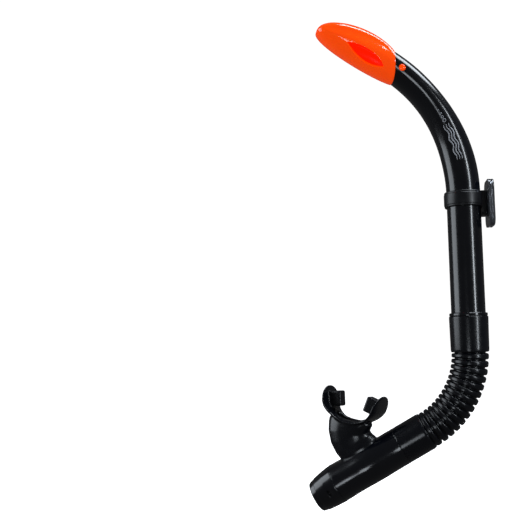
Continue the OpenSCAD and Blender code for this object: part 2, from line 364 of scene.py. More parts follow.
def holed_grid(domain: Array, holes: Sequence[Hole], around: bool) -> tuple[list[Array], list[Array]]:
    """Cuts openings in a grid, and fills each window with rings from its edge to the opening's.

    A ring point is the straight blend of the window's perimeter point and of the outline's point
    at the same angle, so the quads flow round the opening.

    Args:
        domain: (rows, columns, 2) array of surface parameters.
        holes: the openings.
        around: whether the last column joins the first.

    Returns:
        Lists of (n, 2) parameter patches and of their (m, 4) quads.
    """
    rows, columns = domain.shape[:2]
    index = np.arange(rows * columns).reshape(rows, columns)
    if around:
        index = np.concatenate([index, index[:, :1]], 1)
    quads = np.stack([index[:-1, :-1], index[:-1, 1:], index[1:, 1:], index[1:, :-1]], -1)
    keep = np.ones(quads.shape[:2], bool)
    patches, faces = [], []
    for hole in holes:
        u0, u1, v0, v1 = hole.window
        keep[v0:v1, u0:u1] = False
        across = np.arange(u0, u1)
        up = np.arange(v0, v1)
        column = np.concatenate([across, np.full(len(up), u1), across[::-1] + 1, np.full(len(up), u0)])
        row = np.concatenate([np.full(len(across), v0), up, np.full(len(across), v1), up[::-1] + 1])
        edge = domain[row, column % columns if around else column]
        x = 2.0 * (column - u0) / (u1 - u0) - 1.0
        y = 2.0 * (row - v0) / (v1 - v0) - 1.0
        outline = hole.outline(np.arctan2(y, x))
        share = (np.arange(hole.rings + 1) / hole.rings)[:, None, None]
        ring = mix(outline, edge, share**1.15)
        n = ring.shape[1]
        number = np.arange(ring.shape[0] * n).reshape(-1, n)
        number = np.concatenate([number, number[:, :1]], 1)
        patches.append(ring.reshape(-1, 2))
        faces.append(np.stack([number[:-1, :-1], number[1:, :-1], number[1:, 1:], number[:-1, 1:]],
                              -1).reshape(-1, 4))
    patches.append(domain.reshape(-1, 2))
    faces.append(quads[keep])
    return patches, faces


def raised(patches: Sequence[Array], faces: Sequence[Array], surface: Callable[[Array], Array],
           name: str) -> bpy.types.Object:
    """Carries parameter patches on to a surface, and makes them a piece.

    Args:
        patches: (n, 2) arrays of surface parameters.
        faces: each patch's quads.
        surface: gives the (n, 3) points of (n, 2) parameters, in millimetres.
        name: the piece's name.

    Returns:
        The open sheet, welded.
    """
    soup = Soup()
    for patch, quads in zip(patches, faces):
        soup.add(surface(patch), quads)
    return soup.build(name)


def filleted(corners: Sequence[tuple[float, float, float]], steps: int = 5) -> Array:
    """Profile through corners, each rounded by an arc that touches both of its sides.

    The arc of radius r leaves each side at r tan(half the turn) from the corner, less where a side is short.

    Args:
        corners: rows of first coordinate, second coordinate and fillet radius.
        steps: points on each arc.

    Returns:
        (n, 2) array of points.
    """
    table = np.asarray(corners, float)
    points, radii = table[:, :2], table[:, 2]
    made = [points[:1]]
    for before, here, after, radius in zip(points[:-2], points[1:-1], points[2:], radii[1:-1]):
        a, b = before - here, after - here
        la, lb = np.linalg.norm(a), np.linalg.norm(b)
        a, b = a / la, b / lb
        half = 0.5 * math.acos(float(np.clip(a @ b, -1.0, 1.0)))
        reach = min(radius / math.tan(half), 0.49 * la, 0.49 * lb) if half < 1.55 else 0.0
        if reach < 1e-6:
            made.append(here[None])
            continue
        round_r = reach * math.tan(half)
        middle = here + (a + b) / np.linalg.norm(a + b) * round_r / math.sin(half)
        start, end = here + a * reach - middle, here + b * reach - middle
        turn = math.atan2(start[0] * end[1] - start[1] * end[0], float(start @ end))
        t = np.linspace(0.0, turn, steps)
        made.append(middle + np.outer(np.cos(t), start)
                    + np.outer(np.sin(t), np.array([-start[1], start[0]])))
    made.append(points[-1:])
    return np.concatenate(made)


def revolved(profile: Array, columns: int = 96) -> Array:
    """Turns a profile about +Z: each ring is (r cos t, r sin t, z).

    Args:
        profile: rows of radius and height.
        columns: points on each ring.

    Returns:
        (rows, columns, 3) array.
    """
    t = angles(columns)
    r, z = profile[:, 0, None], profile[:, 1, None]
    return np.stack([r * np.cos(t), r * np.sin(t), z + 0.0 * t], -1)


def prism(outline: Array, low: float, high: float, name: str) -> bpy.types.Object:
    """Makes the straight solid of a flat outline, between two heights.

    Args:
        outline: (n, 2) outline in x and y, in millimetres.
        low: height of its foot.
        high: height of its top.
        name: the piece's name.

    Returns:
        The piece.
    """
    n = len(outline)
    points = np.concatenate([np.column_stack([outline, np.full(n, z)]) for z in (low, high)]) * MM
    i = np.arange(n)
    j = (i + 1) % n
    sides = np.stack([i, j, j + n, i + n], -1).tolist()
    mesh = bpy.data.meshes.new(name)
    mesh.from_pydata(points.tolist(), [], sides + [i[::-1].tolist(), (i + n).tolist()])
    mesh.shade_smooth()
    piece = bpy.data.objects.new(name, mesh)
    bpy.context.scene.collection.objects.link(piece)
    return piece


def moved(piece: bpy.types.Object, turn: Array, shift: Sequence[float]) -> bpy.types.Object:
    """Turns and then shifts a piece's mesh, and leaves its object at the origin.

    Args:
        piece: the piece.
        turn: 3 by 3 matrix.
        shift: the way to go, in millimetres.

    Returns:
        The same piece.
    """
    matrix = Matrix(turn.tolist()).to_4x4()
    matrix.translation = [value * MM for value in shift]
    piece.data.transform(matrix)
    piece.data.update()
    return piece


def plate_half(outer: Array, centre: Sequence[float], radial: Callable[[Array], Array],
               rings: int) -> Array:
    """Rings from an opening's edge to the outline round it.

    Each outline point is drawn straight towards the opening's centre, as far as the opening's radius there.

    Args:
        outer: (n, 2) closed outline.
        centre: the opening's centre.
        radial: gives the opening's radius at angles round its centre.
        rings: rings of quads.

    Returns:
        (rings + 1, n, 2) array, the opening's edge first.
    """
    away = outer - np.asarray(centre, float)
    angle = np.arctan2(away[:, 1], away[:, 0])
    inner = np.asarray(centre) + radial(angle)[:, None] * np.stack([np.cos(angle), np.sin(angle)], -1)
    share = np.linspace(0.0, 1.0, rings + 1)[:, None, None]
    return mix(inner, outer, share)


# ---------------------------------------------------------------- colours and finishes


def linear(code: str) -> tuple[float, float, float, float]:
    """Turns an sRGB colour into a linear one: v / 12.92 when dark, else ((v + 0.055) / 1.055)^2.4.

    Args:
        code: hex value such as "#ff8800".

    Returns:
        Red, green, blue and an alpha of 1.
    """
    values = [int(code[i:i + 2], 16) / 255.0 for i in (1, 3, 5)]
    made = [v / 12.92 if v <= 0.04045 else ((v + 0.055) / 1.055) ** 2.4 for v in values]
    return made[0], made[1], made[2], 1.0


def node(tree: bpy.types.NodeTree, kind: str, inputs: dict[str | int, object] | None = None,
         **settings: object) -> bpy.types.Node:
    """Adds a shader node.

    Args:
        tree: the node tree.
        kind: the node's type.
        inputs: socket name or number to a value, or to a socket that is linked to it.
        settings: the node's own properties.

    Returns:
        The node.
    """
    made = tree.nodes.new(kind)
    for key, value in settings.items():
        setattr(made, key, value)
    for key, value in (inputs or {}).items():
        if isinstance(value, bpy.types.NodeSocket):
            tree.links.new(value, made.inputs[key])
        else:
            made.inputs[key].default_value = value
    return made


def noise(tree: bpy.types.NodeTree, place: bpy.types.NodeSocket, width_mm: float,
          detail: float, **settings: float) -> bpy.types.NodeSocket:
    """Adds a noise whose blots are about a width across.

    Args:
        tree: the node tree.
        place: the socket of the point's place.
        width_mm: width of the blots.
        detail: octaves of finer noise.
        settings: other sockets' values.

    Returns:
        The socket of its grey value.
    """
    inputs = {"Vector": place, "Scale": 1.0 / (width_mm * MM), "Detail": detail, **settings}
    return node(tree, "ShaderNodeTexNoise", inputs).outputs["Fac"]


@dataclass(frozen=True)
class Finish:
    """A moulded finish: what the surface is, and the marks that its mould and use leave.

    Args:
        name: the material's common name.
        colour: sRGB hex of the base colour.
        dusk: sRGB hex that the base colour drifts to in broad, faint clouds.
        roughness: mean roughness.
        haze: how far the roughness drifts either way.
        ior: index of refraction.
        grain_mm: width of the mould's skin texture.
        grain_depth_mm: depth of that texture.
        ripple_mm: width of the slow ripple that thick plastic cools with.
        ripple_depth_mm: depth of the ripple.
        coat: weight of the clear skin over the colour.
        coat_roughness: roughness of that skin.
        scatter: subsurface weight.
        scatter_mm: how far light travels inside.
        transmission: share of light that goes through.
        painted_glow: strength of painted light: an emission in the base colour that keeps a fluorescent
            plastic bright in shade.
    """

    name: str
    colour: str
    dusk: str
    roughness: float
    haze: float = 0.04
    ior: float = 1.5
    grain_mm: float = 0.5
    grain_depth_mm: float = 0.002
    ripple_mm: float = 14.0
    ripple_depth_mm: float = 0.02
    coat: float = 0.0
    coat_roughness: float = 0.1
    scatter: float = 0.0
    scatter_mm: float = 1.0
    transmission: float = 0.0
    painted_glow: float = 0.0

    def material(self) -> bpy.types.Material:
        """Builds the node material: clouded colour, worn gloss, and a fine grain on a slow ripple.

        Returns:
            The material, which is made once and then shared.
        """
        made = bpy.data.materials.get(self.name)
        if made:
            return made
        made = bpy.data.materials.new(self.name)
        made.use_nodes = True
        tree = made.node_tree
        shader = tree.nodes["Principled BSDF"]
        place = node(tree, "ShaderNodeTexCoord").outputs["Object"]
        cloud = noise(tree, place, CLOUD_MM, 3.0)
        wear = noise(tree, place, WEAR_MM, 6.0, Roughness=0.65)
        colour = node(tree, "ShaderNodeMix", {"Factor": cloud, 6: linear(self.colour), 7: linear(self.dusk)},
                      data_type="RGBA")
        rough = node(tree, "ShaderNodeMapRange", {
            "Value": wear, "From Min": 0.3, "From Max": 0.7, "To Min": max(0.02, self.roughness - self.haze),
            "To Max": self.roughness + self.haze})
        grain = noise(tree, place, self.grain_mm, 2.0)
        ripple = noise(tree, place, self.ripple_mm, 1.0)
        wave = node(tree, "ShaderNodeBump", {"Height": ripple, "Strength": 1.0,
                                             "Distance": self.ripple_depth_mm * MM})
        skin = node(tree, "ShaderNodeBump", {"Height": grain, "Strength": 1.0,
                                             "Distance": self.grain_depth_mm * MM,
                                             "Normal": wave.outputs["Normal"]})
        tree.links.new(colour.outputs[2], shader.inputs["Base Color"])
        tree.links.new(rough.outputs["Result"], shader.inputs["Roughness"])
        tree.links.new(skin.outputs["Normal"], shader.inputs["Normal"])
        for socket, value in (("IOR", self.ior), ("Coat Weight", self.coat),
                              ("Coat Roughness", self.coat_roughness), ("Subsurface Weight", self.scatter),
                              ("Subsurface Scale", self.scatter_mm * MM),
                              ("Transmission Weight", self.transmission)):
            shader.inputs[socket].default_value = value
        # Painted light: the base colour given off as emission, so the plastic stays bright in shade.
        if self.painted_glow:
            shader.inputs["Emission Color"].default_value = linear(self.colour)
            shader.inputs["Emission Strength"].default_value = self.painted_glow
        if self.scatter:
            shader.inputs["Subsurface Radius"].default_value = SCATTER_REACH
        return made


# Glossy black PVC, injection moulded: a deep skin with a faint blue cast and soft-edged reflections.
PVC = Finish("Moulded black PVC", "#04060c", "#070a12", roughness=0.2, haze=0.03, ior=1.53, grain_mm=0.9,
             grain_depth_mm=0.003, ripple_depth_mm=0.03, coat=0.3, coat_roughness=0.08)
# Black liquid silicone rubber: darker and softer than the PVC, its highlights broad and slightly milky.
SILICONE = Finish("Black liquid silicone rubber", "#05070d", "#080b13", roughness=0.27, haze=0.05, ior=1.43,
                  grain_mm=0.7, grain_depth_mm=0.003, ripple_depth_mm=0.02, coat=0.25, coat_roughness=0.16)
# Fluorescent orange plastic, polished mould: glossy, with painted light, an emission in its own colour, that
# keeps it as bright in shade as in light.
ORANGE = Finish("Fluorescent orange moulded plastic", "#ff4c00", "#ff3f02", roughness=0.12, haze=0.02,
                ior=1.5, grain_mm=1.2, grain_depth_mm=0.001, ripple_mm=18.0, ripple_depth_mm=0.03, coat=0.4,
                coat_roughness=0.05, scatter=0.2, scatter_mm=2.0, painted_glow=0.62)
# A redder copy of the same plastic for the hood's inside and its sleeve: painted shade, with a weaker painted
# emission for the light that comes through the wall.
ORANGE_PAINTED_SHADE = Finish("Orange plastic, painted shade inside the hood", "#ff2f00", "#f42400", roughness=0.3, haze=0.04,
                       scatter=0.3, scatter_mm=2.0, painted_glow=0.3)
# Satin black acetal: a spring-hard clip plastic, greyer and duller than the barrel.
ACETAL = Finish("Satin black acetal", "#0b0c10", "#101116", roughness=0.36, haze=0.05, ior=1.48, grain_mm=0.5,
                grain_depth_mm=0.006)
# Smoke polycarbonate: clear grey, glassy, with a rim that gathers light.
SMOKE = Finish("Smoke polycarbonate", "#9a9ea6", "#8d9199", roughness=0.09, haze=0.03, ior=1.585,
               grain_mm=1.5, grain_depth_mm=0.001, transmission=0.86)
# Dark grey ABS of the valve seat, an inner part with an unpolished mould skin.
ABS = Finish("Dark grey ABS", "#1b1d22", "#22252b", roughness=0.4, haze=0.06, ior=1.52, grain_depth_mm=0.006)
# Grey translucent silicone of the one-way discs: soft, wet-looking film.
FILM = Finish("Grey silicone film", "#3b3e45", "#33363c", roughness=0.3, haze=0.05, ior=1.43, scatter=0.2,
              scatter_mm=0.6)
# Pad-printed mark: flat pale ink, slightly worn.
INK = Finish("Pale printing ink", "#c9ccd2", "#aeb2b9", roughness=0.5, haze=0.1, grain_mm=0.3,
             grain_depth_mm=0.004)


class Body(str, Enum):
    """The bodies of the frame that pieces ride on."""

    BARREL = "barrel"
    KEEPER = "keeper"
    CLIP = "clip"
    HOSE = "hose"
    CHAMBER = "chamber"


def dress(piece: bpy.types.Object, body: Body | None, slot: str, *finishes: Finish,
          replaces: Sequence[str] = ()) -> bpy.types.Object:
    """Gives a piece its materials and its body, and hides the CAD nodes that it stands for.

    Args:
        piece: the piece.
        body: the body that it rides on, or None to leave it on no body.
        slot: the record's material slot; not used.
        finishes: its materials, in the order of its mesh's material numbers.
        replaces: CAD nodes that it stands for.

    Returns:
        The piece.
    """
    for number, finish in enumerate(finishes):
        if number < len(piece.data.materials):
            piece.data.materials[number] = finish.material()
        else:
            piece.data.materials.append(finish.material())
    if body:
        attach(piece, body.value)
    if replaces:
        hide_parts(*replaces)
    faces = len(piece.data.polygons)
    LOG.info("%s: %d faces, %s", piece.name, faces, f"rides on {body.value}" if body else "bends")
    return piece


# ---------------------------------------------------------------- barrel


@dataclass
class Barrel:
    """The rigid tube: straight below, bent above, oval at its top, with a collar for the hose."""

    radius: float = 13.0
    wall: float = 1.8
    bend_radius: float = 119.0
    bend_start: float = 5.0
    bend_end_deg: float = 56.7
    top_in: float = 10.4
    top_out: float = 14.6
    foot: float = -112.0
    collar: float = -89.5
    collar_height: float = 2.4
    collar_rise: float = 1.5
    peg_deg: float = 53.2
    peg_out: float = -1.0
    peg_hole: float = 2.75
    print_start: float = 25.0
    print_length: float = 30.0
    print_shift: float = -3.4
    columns: int = 96
    straight_rows: int = 40
    bent_rows: int = 72

    @property
    def seam_x(self) -> float:
        """Where the oblique seam's plane stands: the bend's end on the centreline."""
        return -self.bend_radius * (1.0 - math.cos(math.radians(self.bend_end_deg)))

    def half_in(self, degrees: Array) -> Array:
        """Half width across the bend's plane, which narrows smoothly up the bend."""
        return mix(self.radius, self.top_in, ramp(degrees, 8.0, 44.0))

    def half_out(self, degrees: Array) -> Array:
        """Half width at right angles to the bend's plane, which widens up the bend."""
        return mix(self.radius, self.top_out, ramp(degrees, 8.0, 44.0))

    def surface(self, parameters: Array, inset: float = 0.0) -> Array:
        """Point at angle t round the tube and length s along it, s = 0 where the bend starts.

        On the bend, the ellipse (in cos t, out sin t) is carried round an arc of the bend's radius.
        Below it, the circle is carried straight down.

        Args:
            parameters: (..., 2) array of t and s.
            inset: how far inside the tube's skin, in millimetres.

        Returns:
            (..., 3) array of points.
        """
        t, s = parameters[..., 0], parameters[..., 1]
        a = np.maximum(s, 0.0) / self.bend_radius
        degrees = np.degrees(a)
        reach = self.bend_radius + (self.half_in(degrees) - inset) * np.cos(t)
        x = -self.bend_radius + reach * np.cos(a)
        y = (self.half_out(degrees) - inset) * np.sin(t)
        z = self.bend_start + reach * np.sin(a) + np.minimum(s, 0.0)
        return np.stack([x, y, z], -1)

    def seam_length(self, t: Array) -> Array:
        """Length along the tube to the seam's plane: where (R + in cos t) cos a = R + seam_x."""
        reach = self.bend_radius + self.top_in * np.cos(t)
        return self.bend_radius * np.arccos((self.bend_radius + self.seam_x) / reach)

    def peg_outline(self, side: float) -> Callable[[Array], Array]:
        """Round edge of a peg's hole.

        Args:
            side: -1 or 1, the side of the bend's plane.

        Returns:
            A function that gives t and s on the tube for angles round the hole.
        """
        middle = math.radians(self.peg_deg) * self.bend_radius

        def outline(angle: Array) -> Array:
            """Circle seen from the side: in cos t = offset + r cos, s = middle + r sin.

            Args:
                angle: (n,) angles round the hole.

            Returns:
                (n, 2) array of t and s.
            """
            cosine = (self.peg_out + self.peg_hole * np.cos(angle) * side) / self.top_in
            t = np.arccos(cosine)
            return np.stack([t if side < 0 else TAU - t, middle + self.peg_hole * np.sin(angle)], -1)

        return outline

    def build(self) -> None:
        """Makes the tube with its two peg holes, and its collar."""
        t = angles(self.columns)
        straight = np.linspace(self.foot - self.bend_start, 0.0, self.straight_rows)
        share = np.arange(1, self.bent_rows + 1) / self.bent_rows
        domain = np.concatenate([
            np.stack(np.broadcast_arrays(t[None, :], straight[:, None]), -1),
            np.stack(np.broadcast_arrays(t[None, :], share[:, None] * self.seam_length(t)[None, :]), -1)])
        quarter, reach = self.columns // 4, 7
        low, high = (self.straight_rows + round(part * self.bent_rows) for part in (0.875, 0.975))
        holes = [Hole((middle - reach, middle + reach, low, high), self.peg_outline(side), 4)
                 for middle, side in ((quarter, -1.0), (3 * quarter, 1.0))]
        skin = raised(*holed_grid(domain, holes, around=True), self.surface, "barrel_tube")
        walled(skin, self.wall)
        bevelled(skin, 0.35, 50.0)
        foot, top = self.collar, self.collar + self.collar_height
        edge = self.radius + self.collar_rise
        profile = filleted([(self.radius - 0.6, foot, 0), (edge, foot, 0.5), (edge, top, 0.6),
                            (self.radius + 0.05, top, 0.5), (self.radius - 0.1, top + 1.2, 0)])
        ring = Soup()
        ring.loops(revolved(profile, self.columns), along=True)
        piece = joined([skin, ring.build("collar")], "barrel_tube")
        dress(piece, Body.BARREL, "barrel_plastic", PVC, replaces=["barrel"])
        self.build_print()

    def build_print(self) -> None:
        """Makes the printed mark on the near side: three wave lines and a row of rising bubbles.

        A line is a sine whose half width is a root of a half sine, so its ends are fine.
        """
        soup = Soup()
        lift = -0.035
        waves, swing, gap, half_line = 3.0, 0.6, 1.9, 0.42
        start, length = self.print_start, self.print_length
        u = np.linspace(0.0, 1.0, 90)
        for number in range(3):
            along = start + length * u
            phase = TAU * waves * u
            height = (number - 1) * gap + swing * np.sin(phase)
            slope = swing * np.cos(phase) * TAU * waves / length
            half = half_line * np.sin(math.pi * u) ** 0.4 * np.sqrt(1.0 + slope**2)
            edges = np.stack([self.print_point(along, height + k * half) for k in (-1.0, 1.0)])
            soup.loops(self.surface(edges, lift), around=False)
        for number in range(4):
            size = 1.35 - 0.25 * number
            centre = start + length + 3.0 + 3.1 * number
            round_t = angles(32)
            edges = np.stack([self.print_point(centre + size * k * np.cos(round_t),
                                               size * k * np.sin(round_t)) for k in (1.0, 0.62)])
            soup.loops(self.surface(edges, lift), around=True)
        piece = soup.build("printed_mark", weld=0.001)
        walled(piece, 0.03, even=False)
        dress(applied(piece), Body.BARREL, "barrel_plastic", INK)

    def print_point(self, along: Array, height: Array) -> Array:
        """Tube's parameters of a print's point: in cos t = height + shift, on the near side.

        Args:
            along: lengths along the tube.
            height: offsets from the mark's middle line, in the bend's plane.

        Returns:
            (..., 2) array of t and s.
        """
        degrees = np.degrees(np.maximum(along, 0.0) / self.bend_radius)
        t = -np.arccos(np.clip((height + self.print_shift) / self.half_in(degrees), -1.0, 1.0))
        return np.stack([t, along], -1)


# ---------------------------------------------------------------- splash guard


@dataclass
class SplashGuard:
    """The orange hood: open on top near its tip, slotted on both sides, plugged into the barrel."""

    barrel: Barrel
    wall: float = 1.8
    half_width: float = 15.0
    back: tuple = ((-53.67, 117.2), (-71.0, 138.0), (-110.0, 142.5), (-111.8, 129.8))
    keel: tuple = ((-53.67, 91.2), (-66.0, 94.2), (-108.0, 119.0), (-111.8, 129.8))
    slot_upper: tuple = ((-62.4, 100.2), (-66.0, 109.5), (-79.0, 117.5), (-90.0, 118.0))
    slot_lower: tuple = ((-62.4, 100.2), (-74.0, 100.0), (-86.0, 110.5), (-90.0, 118.0))
    inlet_x: tuple = (-109.0, -84.8)
    inlet_half_width: float = 9.3
    sleeve_deg: float = 47.7
    sleeve_wall: float = 1.5
    sleeve_past_seam: float = 3.0
    columns: int = 128
    rows: int = 84

    def half(self, v: Array) -> Array:
        """Half width at share v of the length: w (1 + 0.35 v (1 - v)) sqrt(1 - v^3.2)."""
        return self.half_width * (1.0 + 0.35 * v * (1.0 - v)) * np.sqrt(1.0 - np.clip(v, 0.0, 1.0) ** 3.2)

    def surface(self, parameters: Array) -> Array:
        """Point at angle u from the hood's back, at share v of the way from seam to tip.

        The back and the keel are Bezier curves. Between them is a superellipse, squarer above than
        below and twice the half width across. Under the inlet's rim, a bell-shaped dent with a low
        shoulder above it runs down each side towards the seam.

        Args:
            parameters: (..., 2) array of u and v.

        Returns:
            (..., 3) array of points.
        """
        u, v = parameters[..., 0], parameters[..., 1]
        back, keel = cubic(self.back, v), cubic(self.keel, v)
        middle, rise = (back + keel) / 2.0, (back - keel) / 2.0
        up = power(np.cos(u), np.where(np.cos(u) > 0.0, 2.0 / 2.5, 2.0 / 1.8))
        shoulder = mix(math.radians(58.0), math.radians(74.0), v)
        dent = bump(np.abs(u), shoulder + 0.22, 0.2) - 0.35 * bump(np.abs(u), shoulder - 0.1, 0.16)
        dent = dent * ramp(v, 0.0, 0.14) * ramp(v, 0.9, 0.6)
        out = -self.half(v) * power(np.sin(u), 2.0 / 2.3) * (1.0 - 0.055 * dent)
        flat = middle + rise * up[..., None]
        return np.stack([flat[..., 0], out, flat[..., 1]], -1)

    def inlet(self, angle: Array) -> Array:
        """Inlet's edge, as seen from above: an egg, wide towards the seam and narrow at the tip.

        Its half width is w |cos|^0.82 times a share that grows from the tip. Of the hood's stations, the
        one whose x is nearest is taken.

        Args:
            angle: (n,) angles round the inlet.

        Returns:
            (n, 2) array of the hood's u and v.
        """
        along = (1.0 - np.sin(angle)) / 2.0
        x = mix(self.inlet_x[0], self.inlet_x[1], along)
        wide = self.inlet_half_width * np.abs(np.cos(angle)) ** 0.82 * mix(0.62, 1.04, ramp(along, 0.0, 0.62))
        v = np.linspace(0.3, 0.97, 500)[:, None]
        back, keel = cubic(self.back, v), cubic(self.keel, v)
        sine = np.clip(wide / self.half(v), 0.0, 1.0) ** 1.15
        up = (1.0 - sine**2) ** 0.4
        reach = (back[..., 0] + keel[..., 0]) / 2.0 + (back[..., 0] - keel[..., 0]) / 2.0 * up
        nearest = np.argmin(np.abs(reach - x), 0)
        number = np.arange(len(angle))
        return np.stack([np.arcsin(sine[nearest, number]) * np.sign(np.cos(angle)), v[nearest, 0]], -1)

    def slot(self, side: float) -> Callable[[Array], Array]:
        """Side slot's edge: two curves seen from the side, from its low end to its high end.

        Args:
            side: -1 or 1, the side of the bend's plane.

        Returns:
            A function that gives the hood's u and v for angles round the slot.
        """

        def outline(angle: Array) -> Array:
            """Where the curves' points lie between keel and back.

            Args:
                angle: (n,) angles round the slot.

            Returns:
                (n, 2) array of u and v: v of the nearest straight line from keel to back, and u whose
                superellipse height is the point's share of that line.
            """
            share = (1.0 + np.sin(angle)) / 2.0
            low = (np.cos(angle) * side > 0.0)[:, None]
            flat = np.where(low, cubic(self.slot_lower, share), cubic(self.slot_upper, share))
            v = np.linspace(0.0, 0.9, 900)
            back, keel = cubic(self.back, v), cubic(self.keel, v)
            rise = back - keel
            away = (rise[:, 0] * (flat[:, 1, None] - keel[:, 1])
                    - rise[:, 1] * (flat[:, 0, None] - keel[:, 0]))
            nearest = np.argmin(np.abs(away), 1)
            rise = rise[nearest] / 2.0
            up = np.sum((flat - keel[nearest] - rise) * rise, 1) / np.sum(rise**2, 1)
            cosine = power(up, np.where(up > 0.0, 1.25, 0.9))
            return np.stack([side * np.arccos(cosine), v[nearest]], -1)

        return outline

    def build(self) -> None:
        """Makes the hood, its sleeve and its two snap pegs."""
        u = -math.pi + angles(self.columns)
        v = np.concatenate([np.linspace(0.0, 0.94, self.rows), np.array([0.955, 0.97, 0.982, 0.992, 0.9985])])
        domain = np.stack(np.broadcast_arrays(u[None, :], v[:, None]), -1)
        per_column = self.columns / TAU

        def window(low: float, high: float, first: float, last: float) -> tuple[int, int, int, int]:
            """Grid window between two angles and two shares of the length: first and last of each."""
            columns = [round((a + math.pi) * per_column) for a in (low, high)]
            return columns[0], columns[1], int(np.searchsorted(v, first)), int(np.searchsorted(v, last))

        holes = [Hole(window(-0.95, 0.95, 0.36, 0.91), self.inlet, 6),
                 Hole(window(1.45, 2.86, 0.09, 0.62), self.slot(1.0), 6),
                 Hole(window(-2.86, -1.45, 0.09, 0.62), self.slot(-1.0), 6)]
        soup = Soup()
        for patch, quads in zip(*holed_grid(domain, holes, around=True)):
            soup.add(self.surface(patch), quads)
        soup.disc(self.surface(domain[-1]))
        hood = soup.build("splash_hood")
        hood.data.materials.append(ORANGE.material())
        # The second material, for the wall's inner faces, is the orange's painted-shade copy.
        hood.data.materials.append(ORANGE_PAINTED_SHADE.material())
        walled(hood, self.wall, even=False, inner_material=1)
        bevelled(hood, 0.55, 48.0)
        dress(applied(hood), Body.BARREL, "guard_plastic", ORANGE, ORANGE_PAINTED_SHADE, replaces=["splash_guard"])
        self.build_sleeve()
        self.build_pegs()

    def build_sleeve(self) -> None:
        """Makes the thin sleeve that plugs into the barrel's oval end."""
        t = angles(96)
        inset = self.barrel.wall + 0.1
        start = math.radians(self.sleeve_deg) * self.barrel.bend_radius
        share = np.linspace(0.0, 1.0, 14)[:, None]
        along = mix(start, self.barrel.seam_length(t)[None, :] + self.sleeve_past_seam, share)
        around = np.broadcast_to(t, along.shape)
        rings = [self.barrel.surface(np.stack([around, along], -1), inset + depth)
                 for depth in (0.0, self.sleeve_wall)]
        dress(tube(rings[0], rings[1], "guard_sleeve"), Body.BARREL, "guard_plastic", ORANGE_PAINTED_SHADE)

    def build_pegs(self) -> None:
        """Makes the domed pegs that snap into the barrel's side holes."""
        a = math.radians(self.barrel.peg_deg)
        reach = self.barrel.bend_radius + self.barrel.peg_out
        x = -self.barrel.bend_radius + reach * math.cos(a)
        z = self.barrel.bend_start + reach * math.sin(a)
        profile = filleted([(0.01, 0.55, 0), (2.0, 0.35, 0.8), (2.6, -0.25, 0.5), (2.6, -1.9, 0)])
        pegs = []
        for side in (-1.0, 1.0):
            soup = Soup()
            rings = revolved(profile, 48)
            soup.loops(rings)
            soup.disc(rings[-1])
            peg = soup.build("peg")
            turn = np.array(Matrix.Rotation(math.radians(90.0 * -side), 3, "X"))
            pegs.append(moved(peg, turn, (x, side * (self.barrel.top_out - 0.35), z)))
        dress(joined(pegs, "guard_pegs"), Body.BARREL, "guard_plastic", ORANGE)


# ---------------------------------------------------------------- keeper and strap clip


